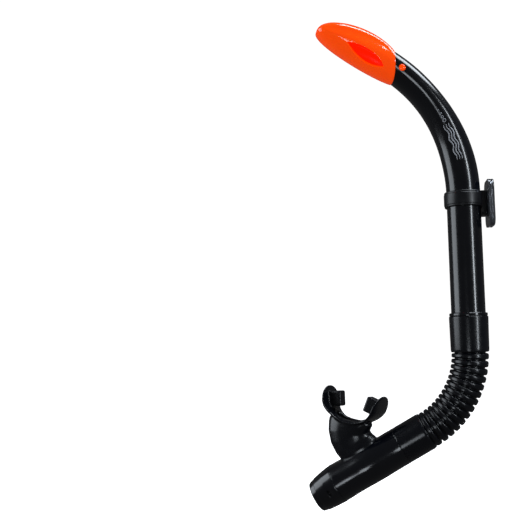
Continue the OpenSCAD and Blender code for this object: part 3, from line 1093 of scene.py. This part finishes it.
@dataclass
class Keeper:
    """The ring on the barrel, and the clip that holds the mask's strap against it."""

    bore: float = 13.05
    ring_radius: float = 15.0
    ring_height: float = 12.0
    turn_deg: float = -12.0
    block_height: float = 19.0
    block_width: float = 13.0
    plate_x: float = 17.8
    plate_width: float = 24.0
    plate_height: float = 36.0
    plate_wall: float = 1.6
    slot_x: float = 8.1
    slot_half: tuple = (1.7, 12.5)
    rib_count: int = 5
    rib_step: float = 2.1
    drop: float = 3.3

    def build(self) -> None:
        """Makes the ring with its block, and the clip."""
        self.build_ring()
        self.build_clip()

    def build_ring(self) -> None:
        """Makes the ring: a turned band with a raised middle, and a T-slotted block with soft edges."""
        half = self.ring_height / 2.0
        outer = self.ring_radius
        profile = filleted([(self.bore, 0.0, 0), (self.bore, half, 0.35), (outer - 0.35, half, 0.7),
                            (outer - 0.3, half - 1.7, 0.3), (outer, half - 2.0, 0.3),
                            (outer, 2.0 - half, 0.3), (outer - 0.3, 1.7 - half, 0.3),
                            (outer - 0.35, -half, 0.7), (self.bore, -half, 0.35), (self.bore, -0.1, 0)], 5)
        soup = Soup()
        soup.loops(revolved(profile[:-1], 128), along=True)
        band = soup.build("band")
        face = self.plate_x - 0.4
        wide, back = self.block_width / 2.0, self.bore + 0.25
        slot_back, slot_front = self.plate_x - 3.85, self.plate_x - 1.95
        outline = np.array([(back - 0.6, -wide), (face - 1.2, -wide), (face, -wide + 1.4), (face, -2.6),
                            (slot_front, -2.6), (slot_front, -4.6), (slot_back, -4.6), (slot_back, 4.6),
                            (slot_front, 4.6), (slot_front, 2.6), (face, 2.6), (face, wide - 1.4),
                            (face - 1.2, wide), (back - 0.6, wide), (back + 0.05, wide * 0.45),
                            (back + 0.35, 0.0), (back + 0.05, -wide * 0.45)])
        top = self.block_height / 2.0
        block = prism(outline, 2.0 - top - self.drop, top - self.drop, "block")
        stop = prism(outline[[0, 1, 2, 11, 12, 13, 14, 15, 16]], -top - self.drop, 2.6 - top - self.drop,
                     "stop")
        for part in (block, stop):
            bevelled(part, 0.35)
        ring = moved(joined([band, block, stop], "keeper_band"), turn_z(self.turn_deg), (0, 0, 0))
        dress(ring, Body.KEEPER, "keeper_plastic", ACETAL, replaces=["keeper_ring"])

    def build_clip(self) -> None:
        """Makes the clear plate with its rim, two strap slots and ribs, and the T-rail behind it."""
        wide, high, corner = self.plate_width / 2.0, self.plate_height / 2.0, 6.0

        def half_outline(edge_x: float, edge_z: float, radius: float) -> Array:
            """Right half of a rounded rectangle, from its foot on the middle line round to its head.

            Args:
                edge_x: its half width.
                edge_z: its half height.
                radius: of its corners.

            Returns:
                (n, 2) array of points.
            """
            along = np.linspace(0.0, edge_x - radius, 9)[:-1]
            side = np.linspace(radius - edge_z, edge_z - radius, 25)[1:-1]
            low = arc_corner(radius, 13, -90.0, 0.0) + (edge_x - radius, radius - edge_z)
            top = arc_corner(radius, 13, 0.0, 90.0) + (edge_x - radius, edge_z - radius)
            return np.concatenate([np.column_stack([along, np.full(8, -edge_z)]), low,
                                   np.column_stack([np.full(len(side), edge_x), side]), top,
                                   np.column_stack([along[::-1], np.full(8, edge_z)])])

        middle = np.column_stack([np.zeros(35), np.linspace(high, -high, 37)[1:-1]])
        outer = np.concatenate([half_outline(wide, high, corner), middle])

        def slot(angle: Array) -> Array:
            """Radius of the strap slot: a superellipse of power 7, (|cos / a|^7 + |sin / b|^7)^(-1/7)."""
            a, b = self.slot_half
            return ((np.abs(np.cos(angle)) / a) ** 7 + (np.abs(np.sin(angle)) / b) ** 7) ** (-1.0 / 7.0)

        rings = plate_half(outer, (self.slot_x, 0.0), slot, 5)
        soup = Soup()
        for side in (-1.0, 1.0):
            flat = rings * (side, 1.0)
            depth = np.full(flat.shape[:2] + (1,), self.plate_x)
            soup.loops(np.concatenate([depth, flat], -1), flip=side < 0)
        plate = soup.build("plate")
        if plate.data.polygons[0].normal.x > 0:
            plate.data.flip_normals()
        walled(plate, self.plate_wall)
        bevelled(plate, 0.4, 50.0)
        parts = [plate]
        rim_profile = filleted([(0.0, 0.0, 0), (0.0, 0.9, 0.1), (-0.3, 1.0, 0.1), (-0.3, 1.5, 0.1),
                                (0.0, 1.6, 0.1), (0.0, 3.1, 0.5), (-1.75, 3.1, 0.4), (-1.75, 0.0, 0)], 4)
        half = half_outline(wide, high, corner)
        loop = np.concatenate([half, half[::-1] * (-1.0, 1.0)])[:-1]
        keep = np.linalg.norm(loop - np.roll(loop, 1, 0), axis=1) > 1e-6
        loop = loop[keep]
        normal = np.roll(loop, -1, 0) - np.roll(loop, 1, 0)
        normal = np.column_stack([normal[:, 1], -normal[:, 0]]) / np.linalg.norm(normal, axis=1)[:, None]
        flat = loop + normal * (rim_profile[:, 0, None, None] - 0.05)
        lift = np.broadcast_to(self.plate_x + self.plate_wall - 0.3 + rim_profile[:, 1, None],
                               flat.shape[:2])[..., None]
        rim = Soup()
        rim.loops(np.concatenate([lift, flat], -1), along=True)
        parts.append(rim.build("rim"))
        for number in range(self.rib_count):
            rib = prism(np.array([(0.0, -0.45), (0.75, -0.3), (0.75, 0.3), (0.0, 0.45)]), -11.5, 11.5, "rib")
            bevelled(rib, 0.2, segments=2)
            place = (self.plate_x + self.plate_wall - 0.1, self.rib_step * (number - self.rib_count // 2), 0)
            parts.append(moved(rib, np.eye(3), place))
        back = self.plate_x
        rail = np.array([(back + 0.1, -2.3), (back + 0.1, 2.3), (back - 2.25, 2.3), (back - 2.25, 4.3),
                         (back - 3.55, 4.3), (back - 3.55, -4.3), (back - 2.25, -4.3), (back - 2.25, -2.3)])
        rail = prism(rail, -7.3, 9.3, "rail")
        bevelled(rail, 0.25, segments=2)
        clip = joined(parts + [rail], "strap_plate")
        moved(clip, turn_z(self.turn_deg), (0, 0, -self.drop))
        dress(clip, Body.CLIP, "clear_plastic", SMOKE, replaces=["strap_clip"])


# ---------------------------------------------------------------- hose


@dataclass
class Lower:
    """The frame of the hose and chamber: how they turn, bend and lie round the barrel's foot."""

    twist_deg: float = -18.0
    hose_radius: float = 67.0
    hose_turn_deg: float = 60.5
    hose_top: float = -89.6
    ribs_top: float = -116.5

    @property
    def hose_end(self) -> Array:
        """End of the hose's bend, before the twist: (-R (1 - cos a), 0, top - R sin a).

        Returns:
            The point.
        """
        a = math.radians(self.hose_turn_deg)
        return np.array([-self.hose_radius * (1.0 - math.cos(a)), 0.0,
                         self.ribs_top - self.hose_radius * math.sin(a)])

    @property
    def axes(self) -> Array:
        """Columns: the chamber's length, its near side and its upper side, in the row's frame."""
        lean = turn_z(180.0) @ turn_y(90.0 - self.hose_turn_deg)
        return turn_z(self.twist_deg) @ lean

    def chamber(self, points: Array) -> Array:
        """Carries points of the chamber's frame into the row's frame."""
        origin = turn_z(self.twist_deg) @ self.hose_end
        return np.asarray(points, float) @ self.axes.T + origin

    def along_hose(self, s: Array) -> tuple[Array, Array, Array]:
        """Centreline of the hose at length s below its top, with its radial and lateral directions.

        Straight down the cuff, then an arc of the bend's radius in the twisted plane, then straight
        on along the chamber's axis.

        Args:
            s: (n,) lengths.

        Returns:
            (n, 3) arrays of the places, the radial directions and the lateral directions.
        """
        cuff = self.hose_top - self.ribs_top
        bend = self.hose_radius * math.radians(self.hose_turn_deg)
        a = np.clip(s - cuff, 0.0, bend) / self.hose_radius
        past = np.maximum(s - cuff - bend, 0.0)
        x = -self.hose_radius * (1.0 - np.cos(a)) - past * np.sin(a)
        z = self.hose_top - np.minimum(s, cuff) - self.hose_radius * np.sin(a) - past * np.cos(a)
        place = np.stack([x, 0.0 * x, z], -1)
        out = np.stack([np.cos(a), 0.0 * a, -np.sin(a)], -1)
        side = np.broadcast_to(np.array([0.0, -1.0, 0.0]), out.shape)
        turn = turn_z(self.twist_deg).T
        return place @ turn, out @ turn, side @ turn


@dataclass
class FlexHose:
    """The silicone hose: a smooth cuff, fourteen ribs round the bend, and a smooth lower cuff."""

    lower: Lower
    rib_radius: float = 14.0
    groove_radius: float = 11.7
    ribs: int = 14
    cuff: float = 26.9
    lower_cuff: float = 23.0
    blend_margin: float = 5.0
    columns: int = 80
    rib_rings: int = 20

    def rib(self, phase: Array) -> Array:
        """Rib's height over one pitch: a narrow round groove, then (1 - |2q - 1|^4)^(1/2.4)."""
        q = np.clip((phase - 0.17) / 0.83, 0.0, 1.0)
        return np.clip(1.0 - np.abs(2.0 * q - 1.0) ** 4.0, 0.0, 1.0) ** (1.0 / 2.4)

    def outer_profile(self) -> tuple[Array, Array]:
        """Profile down the hose's outside: a cuff, the ribs at an even pitch round the bend, a cuff.

        Returns:
            Lengths below the hose's top, and radii.
        """
        bend = self.lower.hose_radius * math.radians(self.lower.hose_turn_deg)
        end = self.cuff + bend
        top = filleted([(0.0, 13.3, 0), (0.0, 14.85, 0.5), (1.6, 14.85, 0.3), (self.cuff - 2.0, 14.5, 2.0),
                        (self.cuff, 14.3, 0.8), (self.cuff + 0.3, 12.4, 0)], 7)
        phase = np.arange(self.ribs * self.rib_rings) / self.rib_rings
        s = self.cuff + bend * (phase + 0.03) / self.ribs
        r = self.groove_radius + (self.rib_radius - self.groove_radius) * self.rib(phase % 1.0)
        ends = end + self.lower_cuff
        foot = filleted([(end + 0.3, 12.2, 0), (end + 0.5, 14.0, 0.6), (end + 2.5, 14.45, 2.0),
                         (ends - 1.0, 14.45, 0.4), (ends, 14.45, 0.35), (ends, 12.5, 0)], 6)
        keep = (s > self.cuff + 0.4) & (s < end + 0.2)
        return (np.concatenate([top[:, 0], s[keep], foot[:, 0]]),
                np.concatenate([top[:, 1], r[keep], foot[:, 1]]))

    def build(self) -> None:
        """Makes the hose's wall round its bent centreline, and leaves it on no body."""
        t = angles(self.columns)
        s, r = self.outer_profile()
        end = self.cuff + self.lower.hose_radius * math.radians(self.lower.hose_turn_deg)
        last = end + self.lower_cuff
        inner_s = np.concatenate([[0.0, 0.01], np.linspace(22.9, 23.0, 2), np.linspace(23.5, end, 60),
                                  [end + 2.6, end + 2.7, last]])
        inner_r = np.concatenate([[13.1, 13.05], [13.05, 10.4], np.full(60, 10.3), [10.3, 12.35, 12.4]])

        def rings(lengths: Array, radii: Array) -> Array:
            """Circles square to the centreline: place + r (cos t out + sin t side).

            Args:
                lengths: (n,) lengths below the hose's top.
                radii: (n,) radii.

            Returns:
                (n, m, 3) array of points.
            """
            place, out, side = self.lower.along_hose(lengths)
            circle = np.cos(t)[None, :, None] * out[:, None] + np.sin(t)[None, :, None] * side[:, None]
            return place[:, None] + radii[:, None, None] * circle

        hose = tube(rings(s, r), rings(inner_s, inner_r), "ribbed_hose")
        dress(hose, None, "hose_silicone", SILICONE, replaces=["flex_hose"])
        start, _, _ = self.lower.along_hose(np.array([self.cuff + self.blend_margin]))
        stop, _, _ = self.lower.along_hose(np.array([end]))
        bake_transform(hose)


# ---------------------------------------------------------------- purge chamber and cap


@dataclass
class PurgeChamber:
    """The oval body under the mouthpiece, and the cap with two exhaust ports at its end."""

    lower: Lower
    start: float = 23.0
    length: float = 100.0
    cap_length: float = 20.0
    half_height: float = 14.5
    oval: float = 4.2
    wall: float = 2.0
    port_z: float = -0.6
    port_gap: float = 15.4
    port_radius: float = 6.0
    neck_x: float = 53.0
    port_half_length: float = 12.6
    port_half_width: float = 7.2
    neck_half_length: float = 13.6
    neck_half_width: float = 8.2
    neck_wall: float = 1.9
    neck_round: float = 0.4
    spigot_bore: float = 10.3
    spigot_radius: float = 12.3

    def section(self, x: Array) -> tuple[Array, Array]:
        """Section at a length: its half rounds' radius dips by a sine, its width eases in from round.

        Args:
            x: lengths along the body.

        Returns:
            The half rounds' radii, and the offsets of their centres.
        """
        grown = ramp(x, self.start, 60.0)
        waist = 0.4 * np.sin(math.pi * ramp(x, 44.0, self.length - self.cap_length + 4.0))
        return self.half_height - waist, self.oval * grown

    def ring(self, x: Array, r: Array, e: Array, z: Array | float, t: Array) -> Array:
        """Flat ovals square to the length: y = r cos t + e times t's side, height z + r sin t.

        Args:
            x: (n,) places along the length.
            r: radii of the half rounds.
            e: offsets of their centres.
            z: heights of their middles.
            t: (m,) angles round them.

        Returns:
            (n, m, 3) array in the chamber's frame.
        """
        x, r, e, z = (np.asarray(v, float)[..., None] for v in (x, r, e, z + 0.0 * np.asarray(x)))
        return np.stack(np.broadcast_arrays(x, r * np.cos(t) + e * sided(t), z + r * np.sin(t)), -1)

    def surface(self, parameters: Array) -> Array:
        """Point of the body: the flat oval of its section, at angle t and length x.

        Args:
            parameters: (..., 2) array of t and x.

        Returns:
            (..., 3) array in the row's frame.
        """
        t, x = parameters[..., 0], parameters[..., 1]
        r, e = self.section(x)
        y = r * np.cos(t) + e * sided(t)
        return self.lower.chamber(np.stack([x, y, r * np.sin(t)], -1))

    def port_outline(self, angle: Array) -> Array:
        """Edge of the neck's port: a superellipse of the port's half sizes, wound to match the grid.

        The cosine is y / (r + gain e) near the middle line and (|y| - e) / r beyond it.

        Args:
            angle: (n,) angles round the port.

        Returns:
            (n, 2) array of the body's t and x.
        """
        x = self.neck_x + self.port_half_length * power(np.sin(angle), 0.8)
        y = -self.port_half_width * power(np.cos(angle), 0.8)
        r, e = self.section(x)
        near = y / (r + FLAT_GAIN * e)
        far = (np.abs(y) - e) / r * np.sign(y)
        return np.stack([np.arccos(np.where(np.abs(near) < 1.0 / FLAT_GAIN, near, far)), x], -1)

    def build(self) -> None:
        """Makes the body, its spigot and the port's collar, then the cap."""
        cap_start = self.length - self.cap_length
        t = angles(112)
        x = np.concatenate([[self.start + 0.1], np.linspace(self.start + 0.5, cap_start - 0.4, 60),
                            [cap_start - 0.05]])
        domain = np.stack(np.broadcast_arrays(t[None, :], x[:, None]), -1)
        window = (28 - 15, 28 + 15, int(np.searchsorted(x, 37.0)), int(np.searchsorted(x, 70.0)))
        skin = raised(*holed_grid(domain, [Hole(window, self.port_outline, 5)], around=True),
                      self.surface, "body")
        walled(skin, self.wall)
        bevelled(skin, 0.3, 50.0, segments=2)
        spigot = Soup()
        bore, skin_r, root = self.spigot_bore, self.spigot_radius, self.start + 2.3
        profile = filleted([(bore, root, 0), (bore, 3.0, 0.4), (skin_r, 3.0, 0.6), (skin_r, root, 0)], 4)
        rings = revolved(profile, 72)
        spigot.loops(self.lower.chamber(rings[..., [2, 1, 0]]), along=True)
        collar = Soup()
        a = angles(72)
        shape = np.stack([power(np.cos(a), 0.8), power(np.sin(a), 0.8)], -1)
        wall, soft = self.neck_wall, self.neck_round
        levels = [(0.0, 12.0), (0.0, 20.1), (soft, 20.5), (wall - soft, 20.5), (wall, 20.1), (wall, 9.5)]
        loops = [np.column_stack([self.neck_x + shape[:, 0] * (self.neck_half_length - inset),
                                  shape[:, 1] * (self.neck_half_width - inset), np.full(len(a), z)])
                 for inset, z in levels]
        collar.loops(self.lower.chamber(np.stack(loops)), along=True)
        body = joined([skin, spigot.build("spigot"), collar.build("collar")], "purge_body")
        dress(body, Body.CHAMBER, "barrel_plastic", PVC, replaces=["purge_chamber"])
        self.build_cap(cap_start)

    def build_cap(self, cap_start: float) -> None:
        """Makes the cap: an end face of two halves round the ports, a rolled edge, and its side.

        Args:
            cap_start: length at which the cap meets the body.
        """
        steps = 44
        t = np.radians(np.linspace(-90.0, 90.0, steps + 1))
        face_r, face_z = 9.9, -0.7

        def outline(r: float, e: float, z: float) -> Array:
            """Near half of the flat oval at the angles t: r cos t + e times t's side, z + r sin t."""
            return np.column_stack([r * np.cos(t) + e * sided(t), z + r * np.sin(t)])

        half = outline(face_r, self.oval, face_z)
        middle = np.column_stack([np.zeros(15), np.linspace(face_z + face_r, face_z - face_r, 17)[1:-1]])
        outer = np.concatenate([half, middle])
        rings = plate_half(outer, (self.port_gap / 2.0, self.port_z),
                           lambda a: np.full(len(a), self.port_radius), 5)
        soup = Soup()
        for side in (-1.0, 1.0):
            depth = np.full(rings.shape[:2] + (1,), self.length - 0.3)
            soup.loops(self.lower.chamber(np.concatenate([depth, rings * (side, 1.0)], -1)))
        profile = filleted([(self.length - 0.3, face_r, 0), (self.length - 0.3, 11.75, 1.5),
                            (self.length - 4.6, 12.7, 0.4), (self.length - 4.9, 13.0, 0.3),
                            (self.length - 12.0, 14.05, 6.0), (cap_start + 0.6, 14.65, 0.4),
                            (cap_start, 14.6, 0.3), (cap_start, 13.2, 0)], 6)
        x, r = profile[:, 0], profile[:, 1]
        lean = face_z * ramp((x - cap_start) / self.cap_length, 0.0, 1.0)
        lean[r < face_r + 0.01] = face_z
        whole = np.concatenate([t, t[1:-1] + math.pi])
        soup.loops(self.lower.chamber(self.ring(x, r, np.full(len(x), self.oval), lean, whole)))
        cap = soup.build("cap")
        walled(cap, 1.9)
        bevelled(cap, 0.35, 52.0)
        applied(cap)
        cutters = []
        for side in (-1.0, 1.0):
            y = side * (self.oval + 13.4)
            outline_2d = np.array([(-1.0, -2.5), (1.0, -2.5), (1.0, 2.5), (-1.0, 2.5)])
            cutter = prism(outline_2d, -1.1, 1.1, "snap")
            turn = np.column_stack([self.lower.axes[:, 0], self.lower.axes[:, 2], self.lower.axes[:, 1]])
            shift = self.lower.chamber(np.array([self.length - 13.0, y, -2.0]))
            cutters.append(moved(cutter, turn, shift))
            # These axes are left-handed, which turns the cutter inside out.
            cutter.data.flip_normals()
        carved(cap, cutters)
        cap.data.shade_smooth()
        cap.name = cap.data.name = "vented_cap"
        dress(cap, Body.CHAMBER, "barrel_plastic", PVC, replaces=["purge_cap"])


# ---------------------------------------------------------------- mouthpiece


@dataclass
class Mouthpiece:
    """The silicone mouthpiece: neck, curved flange and two bite lugs, moulded as one."""

    lower: Lower
    chamber: PurgeChamber
    origin: tuple = (47.7, 0.0, 34.2)
    lean_deg: float = 40.0
    turn_deg: float = 20.0
    flange_radius: float = 21.5
    flange_dip: float = 15.5
    lobe_start_deg: float = 80.0
    lobe_deg: float = 116.0
    lug_length: float = 10.5
    lug_height: float = 12.0
    lug_half_width: float = 4.5
    lug_lean_deg: float = 12.8
    taper_deg: float = 84.0
    rim_radius: float = 1.1
    rim_height: float = 0.9
    belly: float = 2.6
    voxel_mm: float = 0.42

    def turned(self, share: float = 1.0) -> Array:
        """Turn of the mouth's frame, or a share of it, in the chamber's frame."""
        return turn_y(-self.lean_deg * share) @ turn_z(-self.turn_deg * share)

    def place(self, points: Array) -> Array:
        """Carries points of the mouth's frame into the row's frame."""
        return self.lower.chamber(np.asarray(points, float) @ self.turned().T + self.origin)

    def flange_line(self, a: Array) -> tuple[Array, Array]:
        """Flange's middle line at angle a from its foot, and the line's normal, in x and z.

        x = radius sin a and z = dip (1 - cos a). From where the lobes start, it runs straight on.

        Args:
            a: angles.

        Returns:
            (..., 2) arrays of the points and of the normals.
        """

        def at(value: Array) -> Array:
            """Point of the line: its way past the lobes' start is 1.2 times the angle past it.

            Args:
                value: angles.

            Returns:
                (..., 2) array of points.
            """
            c = np.minimum(np.abs(value), math.radians(self.lobe_start_deg))
            over = 1.2 * (np.abs(value) - c)
            return np.stack([np.sign(value) * self.flange_radius * (np.sin(c) + over * np.cos(c)),
                             self.flange_dip * (1.0 - np.cos(c) + over * np.sin(c))], -1)

        step = at(a + 0.004) - at(a - 0.004)
        normal = np.stack([-step[..., 1], step[..., 0]], -1)
        return at(a), normal / np.linalg.norm(normal, axis=-1, keepdims=True)

    def flange(self) -> bpy.types.Object:
        """Makes the curved flange: thick at the neck, thin and round-ended at its lobes.

        Its half width is that of the lobes times sqrt(1 - tail^2), where tail runs 0 to 1 to its end.

        Returns:
            The closed piece.
        """
        end = math.radians(self.lobe_deg)
        a = np.linspace(-end, end, 97)
        w = np.linspace(-1.0, 1.0, 41)
        line, normal = self.flange_line(a)
        degrees = np.abs(np.degrees(a))
        tail = np.clip((degrees - self.taper_deg) / (self.lobe_deg + 0.6 - self.taper_deg), 0.0, 1.0)
        half = mix(10.0, 13.4, ramp(degrees, 30.0, 80.0)) * np.sqrt(1.0 - tail**2)
        middle = mix(1.25, 0.8, ramp(degrees, 50.0, 115.0))
        thick = middle[:, None] * (1.0 - 0.45 * np.abs(w)[None, :] ** 2.5)
        y = w[None, :] * half[:, None]
        faces = []
        for sign in (-1.0, 1.0):
            x = line[:, 0, None] + sign * thick * normal[:, 0, None]
            z = line[:, 1, None] + sign * thick * normal[:, 1, None]
            faces.append(self.place(np.stack([x, y, z], -1)))
        soup = Soup()
        soup.loops(faces[0], around=False)
        soup.loops(faces[1], around=False, flip=True)
        for edge in (np.s_[:, 0], np.s_[:, -1], np.s_[0], np.s_[-1]):
            soup.loops(np.stack([faces[0][edge], faces[1][edge]]), around=False)
        return soup.build("flange", weld=0.002)

    def neck_rings(self, levels: Sequence[tuple[float, float, float]]) -> Array:
        """Rings from the chamber's port to the flange: superellipses on a curved, turning centreline.

        Args:
            levels: rows of the share of the way up, half length and half width.

        Returns:
            (levels, n, 3) array in the row's frame.
        """
        a = angles(96)
        shape = np.stack([power(np.cos(a), 0.82), power(np.sin(a), 0.82)], -1)
        rings = []
        start = np.array([self.chamber.neck_x, 0.0, 10.5])
        finish = np.array(self.origin) + self.turned() @ np.array([0.0, 0.0, 1.0])
        lift = np.array([0.0, 0.0, 9.0])
        pull = self.turned() @ np.array([0.0, 0.0, -8.0])
        for share, length, width in levels:
            middle = cubic([start, start + lift, finish + pull, finish], np.array(share))
            middle = middle + (self.belly * float(ramp(share, 0.05, 0.5) * ramp(share, 1.3, 0.7)), 0.0, 0.0)
            turn = self.turned(float(ramp(share, 0.25, 1.0)))
            flat = np.column_stack([shape[:, 0] * length, shape[:, 1] * width, np.zeros(len(a))])
            rings.append(middle + flat @ turn.T)
        return self.lower.chamber(np.stack(rings))

    def neck(self) -> bpy.types.Object:
        """Makes the neck's outside: a wide foot on the chamber, a waist, and a flare to the flange.

        Returns:
            The closed piece.
        """
        levels = [(0.0, 16.2, 10.9), (0.14, 16.2, 10.9), (0.2, 16.0, 10.5), (0.35, 15.8, 9.8),
                  (0.55, 16.2, 9.2), (0.75, 16.8, 9.0), (0.9, 17.4, 9.0), (1.0, 17.9, 9.0), (1.06, 17.7, 8.8)]
        return self.stalk(levels, "neck")

    def stalk(self, levels: Sequence[tuple[float, float, float]], name: str) -> bpy.types.Object:
        """Makes the closed shape of some of the neck's rings.

        Args:
            levels: rows of the share of the way up, half length and half width.
            name: the piece's name.

        Returns:
            The piece.
        """
        soup = Soup()
        rings = self.neck_rings(levels)
        soup.loops(rings)
        soup.disc(rings[0])
        soup.disc(rings[-1])
        return soup.build(name)

    def rim(self) -> bpy.types.Object:
        """Makes the raised rim round the air opening: a flat ring's tube, laid on the flange's line.

        Returns:
            The closed piece.
        """
        a = angles(96)
        line = np.stack([16.0 * power(np.cos(a), 0.8), 5.9 * power(np.sin(a), 0.8)], -1)
        bend, _ = self.flange_line(np.arcsin(line[:, 0] / self.flange_radius))
        out = np.column_stack([np.cos(a), np.sin(a)])
        rings = []
        for b in angles(10):
            shift = self.rim_radius * math.cos(b)
            x = bend[:, 0] + out[:, 0] * shift
            y = line[:, 1] + out[:, 1] * shift
            z = bend[:, 1] + 1.2 + self.rim_height * math.sin(b)
            rings.append(np.column_stack([x, y, z]))
        soup = Soup()
        soup.loops(self.place(np.stack(rings)), along=True)
        return soup.build("rim")

    def lug(self, side: float) -> bpy.types.Object:
        """Makes one bite lug: a soft-edged block that stands inwards from a lobe and leans a little.

        Args:
            side: -1 or 1, the lobe that it stands on.

        Returns:
            The closed piece.
        """
        low, high = sorted((side * 0.2, -side * (self.lug_length + 0.2)))
        wide = self.lug_half_width
        outline = np.array([(low, -wide), (high, -wide), (high, wide), (low, wide)])
        block = prism(outline, -self.lug_height / 2.0, self.lug_height / 2.0, "lug")
        bevelled(block, 1.1, segments=4)
        applied(block)
        points = np.empty(len(block.data.vertices) * 3)
        block.data.vertices.foreach_get("co", points)
        leant = points.reshape(-1, 3) / MM @ turn_y(side * self.lug_lean_deg).T
        leant += (side * (self.flange_radius - 0.5), 0.0, self.flange_dip - 1.2)
        block.data.vertices.foreach_set("co", (self.place(leant) * MM).ravel())
        return block

    def air_way(self) -> bpy.types.Object:
        """Makes the closed shape of the air passage, through the neck and out of the flange.

        Returns:
            The piece, to be cut out.
        """
        levels = [(-0.1, 11.7, 6.3), (0.12, 11.7, 6.3), (0.5, 11.6, 5.9), (0.85, 13.6, 4.8), (1.0, 14.6, 4.6),
                  (1.35, 15.0, 4.7)]
        return self.stalk(levels, "air")

    def build(self) -> None:
        """Fuses the parts by a fine voxel remesh, relaxes the steps, and opens the air passage."""
        whole = joined([self.neck(), self.flange(), self.rim(), self.lug(-1.0), self.lug(1.0)],
                       "soft_mouthpiece")
        modifier(whole, "REMESH", mode="VOXEL", voxel_size=self.voxel_mm * MM)
        applied(whole)
        carved(whole, [self.air_way()])
        modifier(whole, "REMESH", mode="VOXEL", voxel_size=self.voxel_mm * MM)
        modifier(whole, "SMOOTH", factor=0.5, iterations=9)
        applied(whole)
        whole.data.shade_smooth()
        dress(whole, Body.CHAMBER, "mouth_silicone", SILICONE, replaces=["mouthpiece"])


# ---------------------------------------------------------------- valves


@dataclass
class Valves:
    """The one-way valves behind the ports: CAD parts whose shapes stay, given their finishes."""

    seat: str = "valve_seat"
    discs: tuple = ("purge_valve_near", "purge_valve_far")

    def build(self, nodes: dict[str, bpy.types.Object]) -> None:
        """Dresses the seat and both discs.

        Args:
            nodes: the frame's nodes by name.
        """
        for name, finish in ((self.seat, ABS), *((disc, FILM) for disc in self.discs)):
            piece = nodes[name]
            piece.data.materials.clear()
            piece.data.materials.append(finish.material())
            LOG.info("%s: dressed as %s", name, finish.name)


# ---------------------------------------------------------------- studio


@dataclass
class Studio:
    """White sweep, soft lights and the camera."""

    floor: float = -0.262
    room: float = 0.07
    backdrop: float = 1.05
    light_colour: tuple = (0.86, 0.93, 1.0)
    eye: tuple = (-0.19054, -0.56, -0.0983)
    yaw_deg: float = -8.5
    pitch_deg: float = 5.0
    roll_deg: float = -1.59
    lens: float = 51.67
    shift_x: float = -0.12

    def build(self) -> None:
        """Makes the floor, the lights, the world and the camera."""
        self.build_floor()
        self.light("left wall", (-1.15, 0.15, 0.25), (0.8, 0.9), 7.0)
        self.light("strip", (0.58, -0.93, 0.1), (0.12, 0.8), 4.5)
        self.light("above", (0.42, -0.12, 1.05), (0.6, 0.85), 15.0)
        self.light("front", (-0.5, -1.1, -0.35), (0.3, 0.3), 1.6)
        world = bpy.data.worlds.new("White studio")
        bpy.context.scene.world = world
        world.use_nodes = True
        tree = world.node_tree
        seen = node(tree, "ShaderNodeLightPath").outputs["Is Camera Ray"]
        level = node(tree, "ShaderNodeMapRange", {"Value": seen, "To Min": self.room,
                                                  "To Max": self.backdrop})
        # The camera sees the white backdrop; surfaces see a dim room, so their shadows stay deep.
        background = tree.nodes["Background"]
        background.inputs["Color"].default_value = (1.0, 1.0, 1.0, 1.0)
        tree.links.new(level.outputs["Result"], background.inputs["Strength"])
        bpy.context.scene.view_settings.view_transform = "Standard"
        bpy.context.scene.view_settings.look = "None"
        self.build_camera()

    def build_floor(self) -> None:
        """Makes a plain white floor under the object, which only the camera sees."""
        reach = 3000.0
        soup = Soup()
        line = np.linspace(-reach, reach, 3)
        x, y = np.meshgrid(line, line)
        soup.loops(np.stack([x, y, np.full_like(x, self.floor / MM)], -1), around=False)
        floor = soup.build("floor")
        paint = bpy.data.materials.new("Matt white studio floor")
        paint.use_nodes = True
        shader = paint.node_tree.nodes["Principled BSDF"]
        shader.inputs["Base Color"].default_value = linear("#f7f7f7")
        shader.inputs["Roughness"].default_value = 0.9
        shader.inputs["Specular IOR Level"].default_value = 0.0
        shader.inputs["Emission Color"].default_value = (1.0, 1.0, 1.0, 1.0)
        shader.inputs["Emission Strength"].default_value = 1.0
        floor.data.materials.append(paint)
        floor.visible_glossy = floor.visible_diffuse = floor.visible_transmission = False

    def light(self, name: str, place: Sequence[float], size: tuple[float, float], power_w: float) -> None:
        """Adds a soft box that faces the frame's origin.

        Args:
            name: the light's name.
            place: its middle.
            size: its width and height.
            power_w: its power.
        """
        data = bpy.data.lights.new(name, "AREA")
        data.shape = "RECTANGLE"
        data.size, data.size_y = size
        data.energy = power_w
        data.color = self.light_colour
        lamp = bpy.data.objects.new(name, data)
        lamp.location = place
        lamp.rotation_euler = (-Vector(place)).to_track_quat("-Z", "Y").to_euler()
        bpy.context.scene.collection.objects.link(lamp)

    def build_camera(self) -> None:
        """Makes the camera: in front and a little to the left, looking slightly up and right."""
        data = bpy.data.cameras.new("camera")
        data.lens = self.lens
        data.sensor_width = 36.0
        data.shift_x = self.shift_x
        camera = bpy.data.objects.new("camera", data)
        turn = (Matrix.Rotation(math.radians(self.yaw_deg), 4, "Z")
                @ Matrix.Rotation(math.radians(90.0 + self.pitch_deg), 4, "X")
                @ Matrix.Rotation(math.radians(self.roll_deg), 4, "Z"))
        camera.matrix_world = Matrix.Translation(self.eye) @ turn
        bpy.context.scene.collection.objects.link(camera)
        bpy.context.scene.camera = camera


def main() -> None:
    """Loads the frame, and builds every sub-assembly round it."""
    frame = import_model()
    barrel = Barrel()
    lower = Lower()
    chamber = PurgeChamber(lower)
    Studio().build()
    barrel.build()
    SplashGuard(barrel).build()
    Keeper().build()
    FlexHose(lower).build()
    chamber.build()
    Mouthpiece(lower, chamber).build()
    Valves().build(frame["nodes"])


if __name__ == "__main__":
    main()
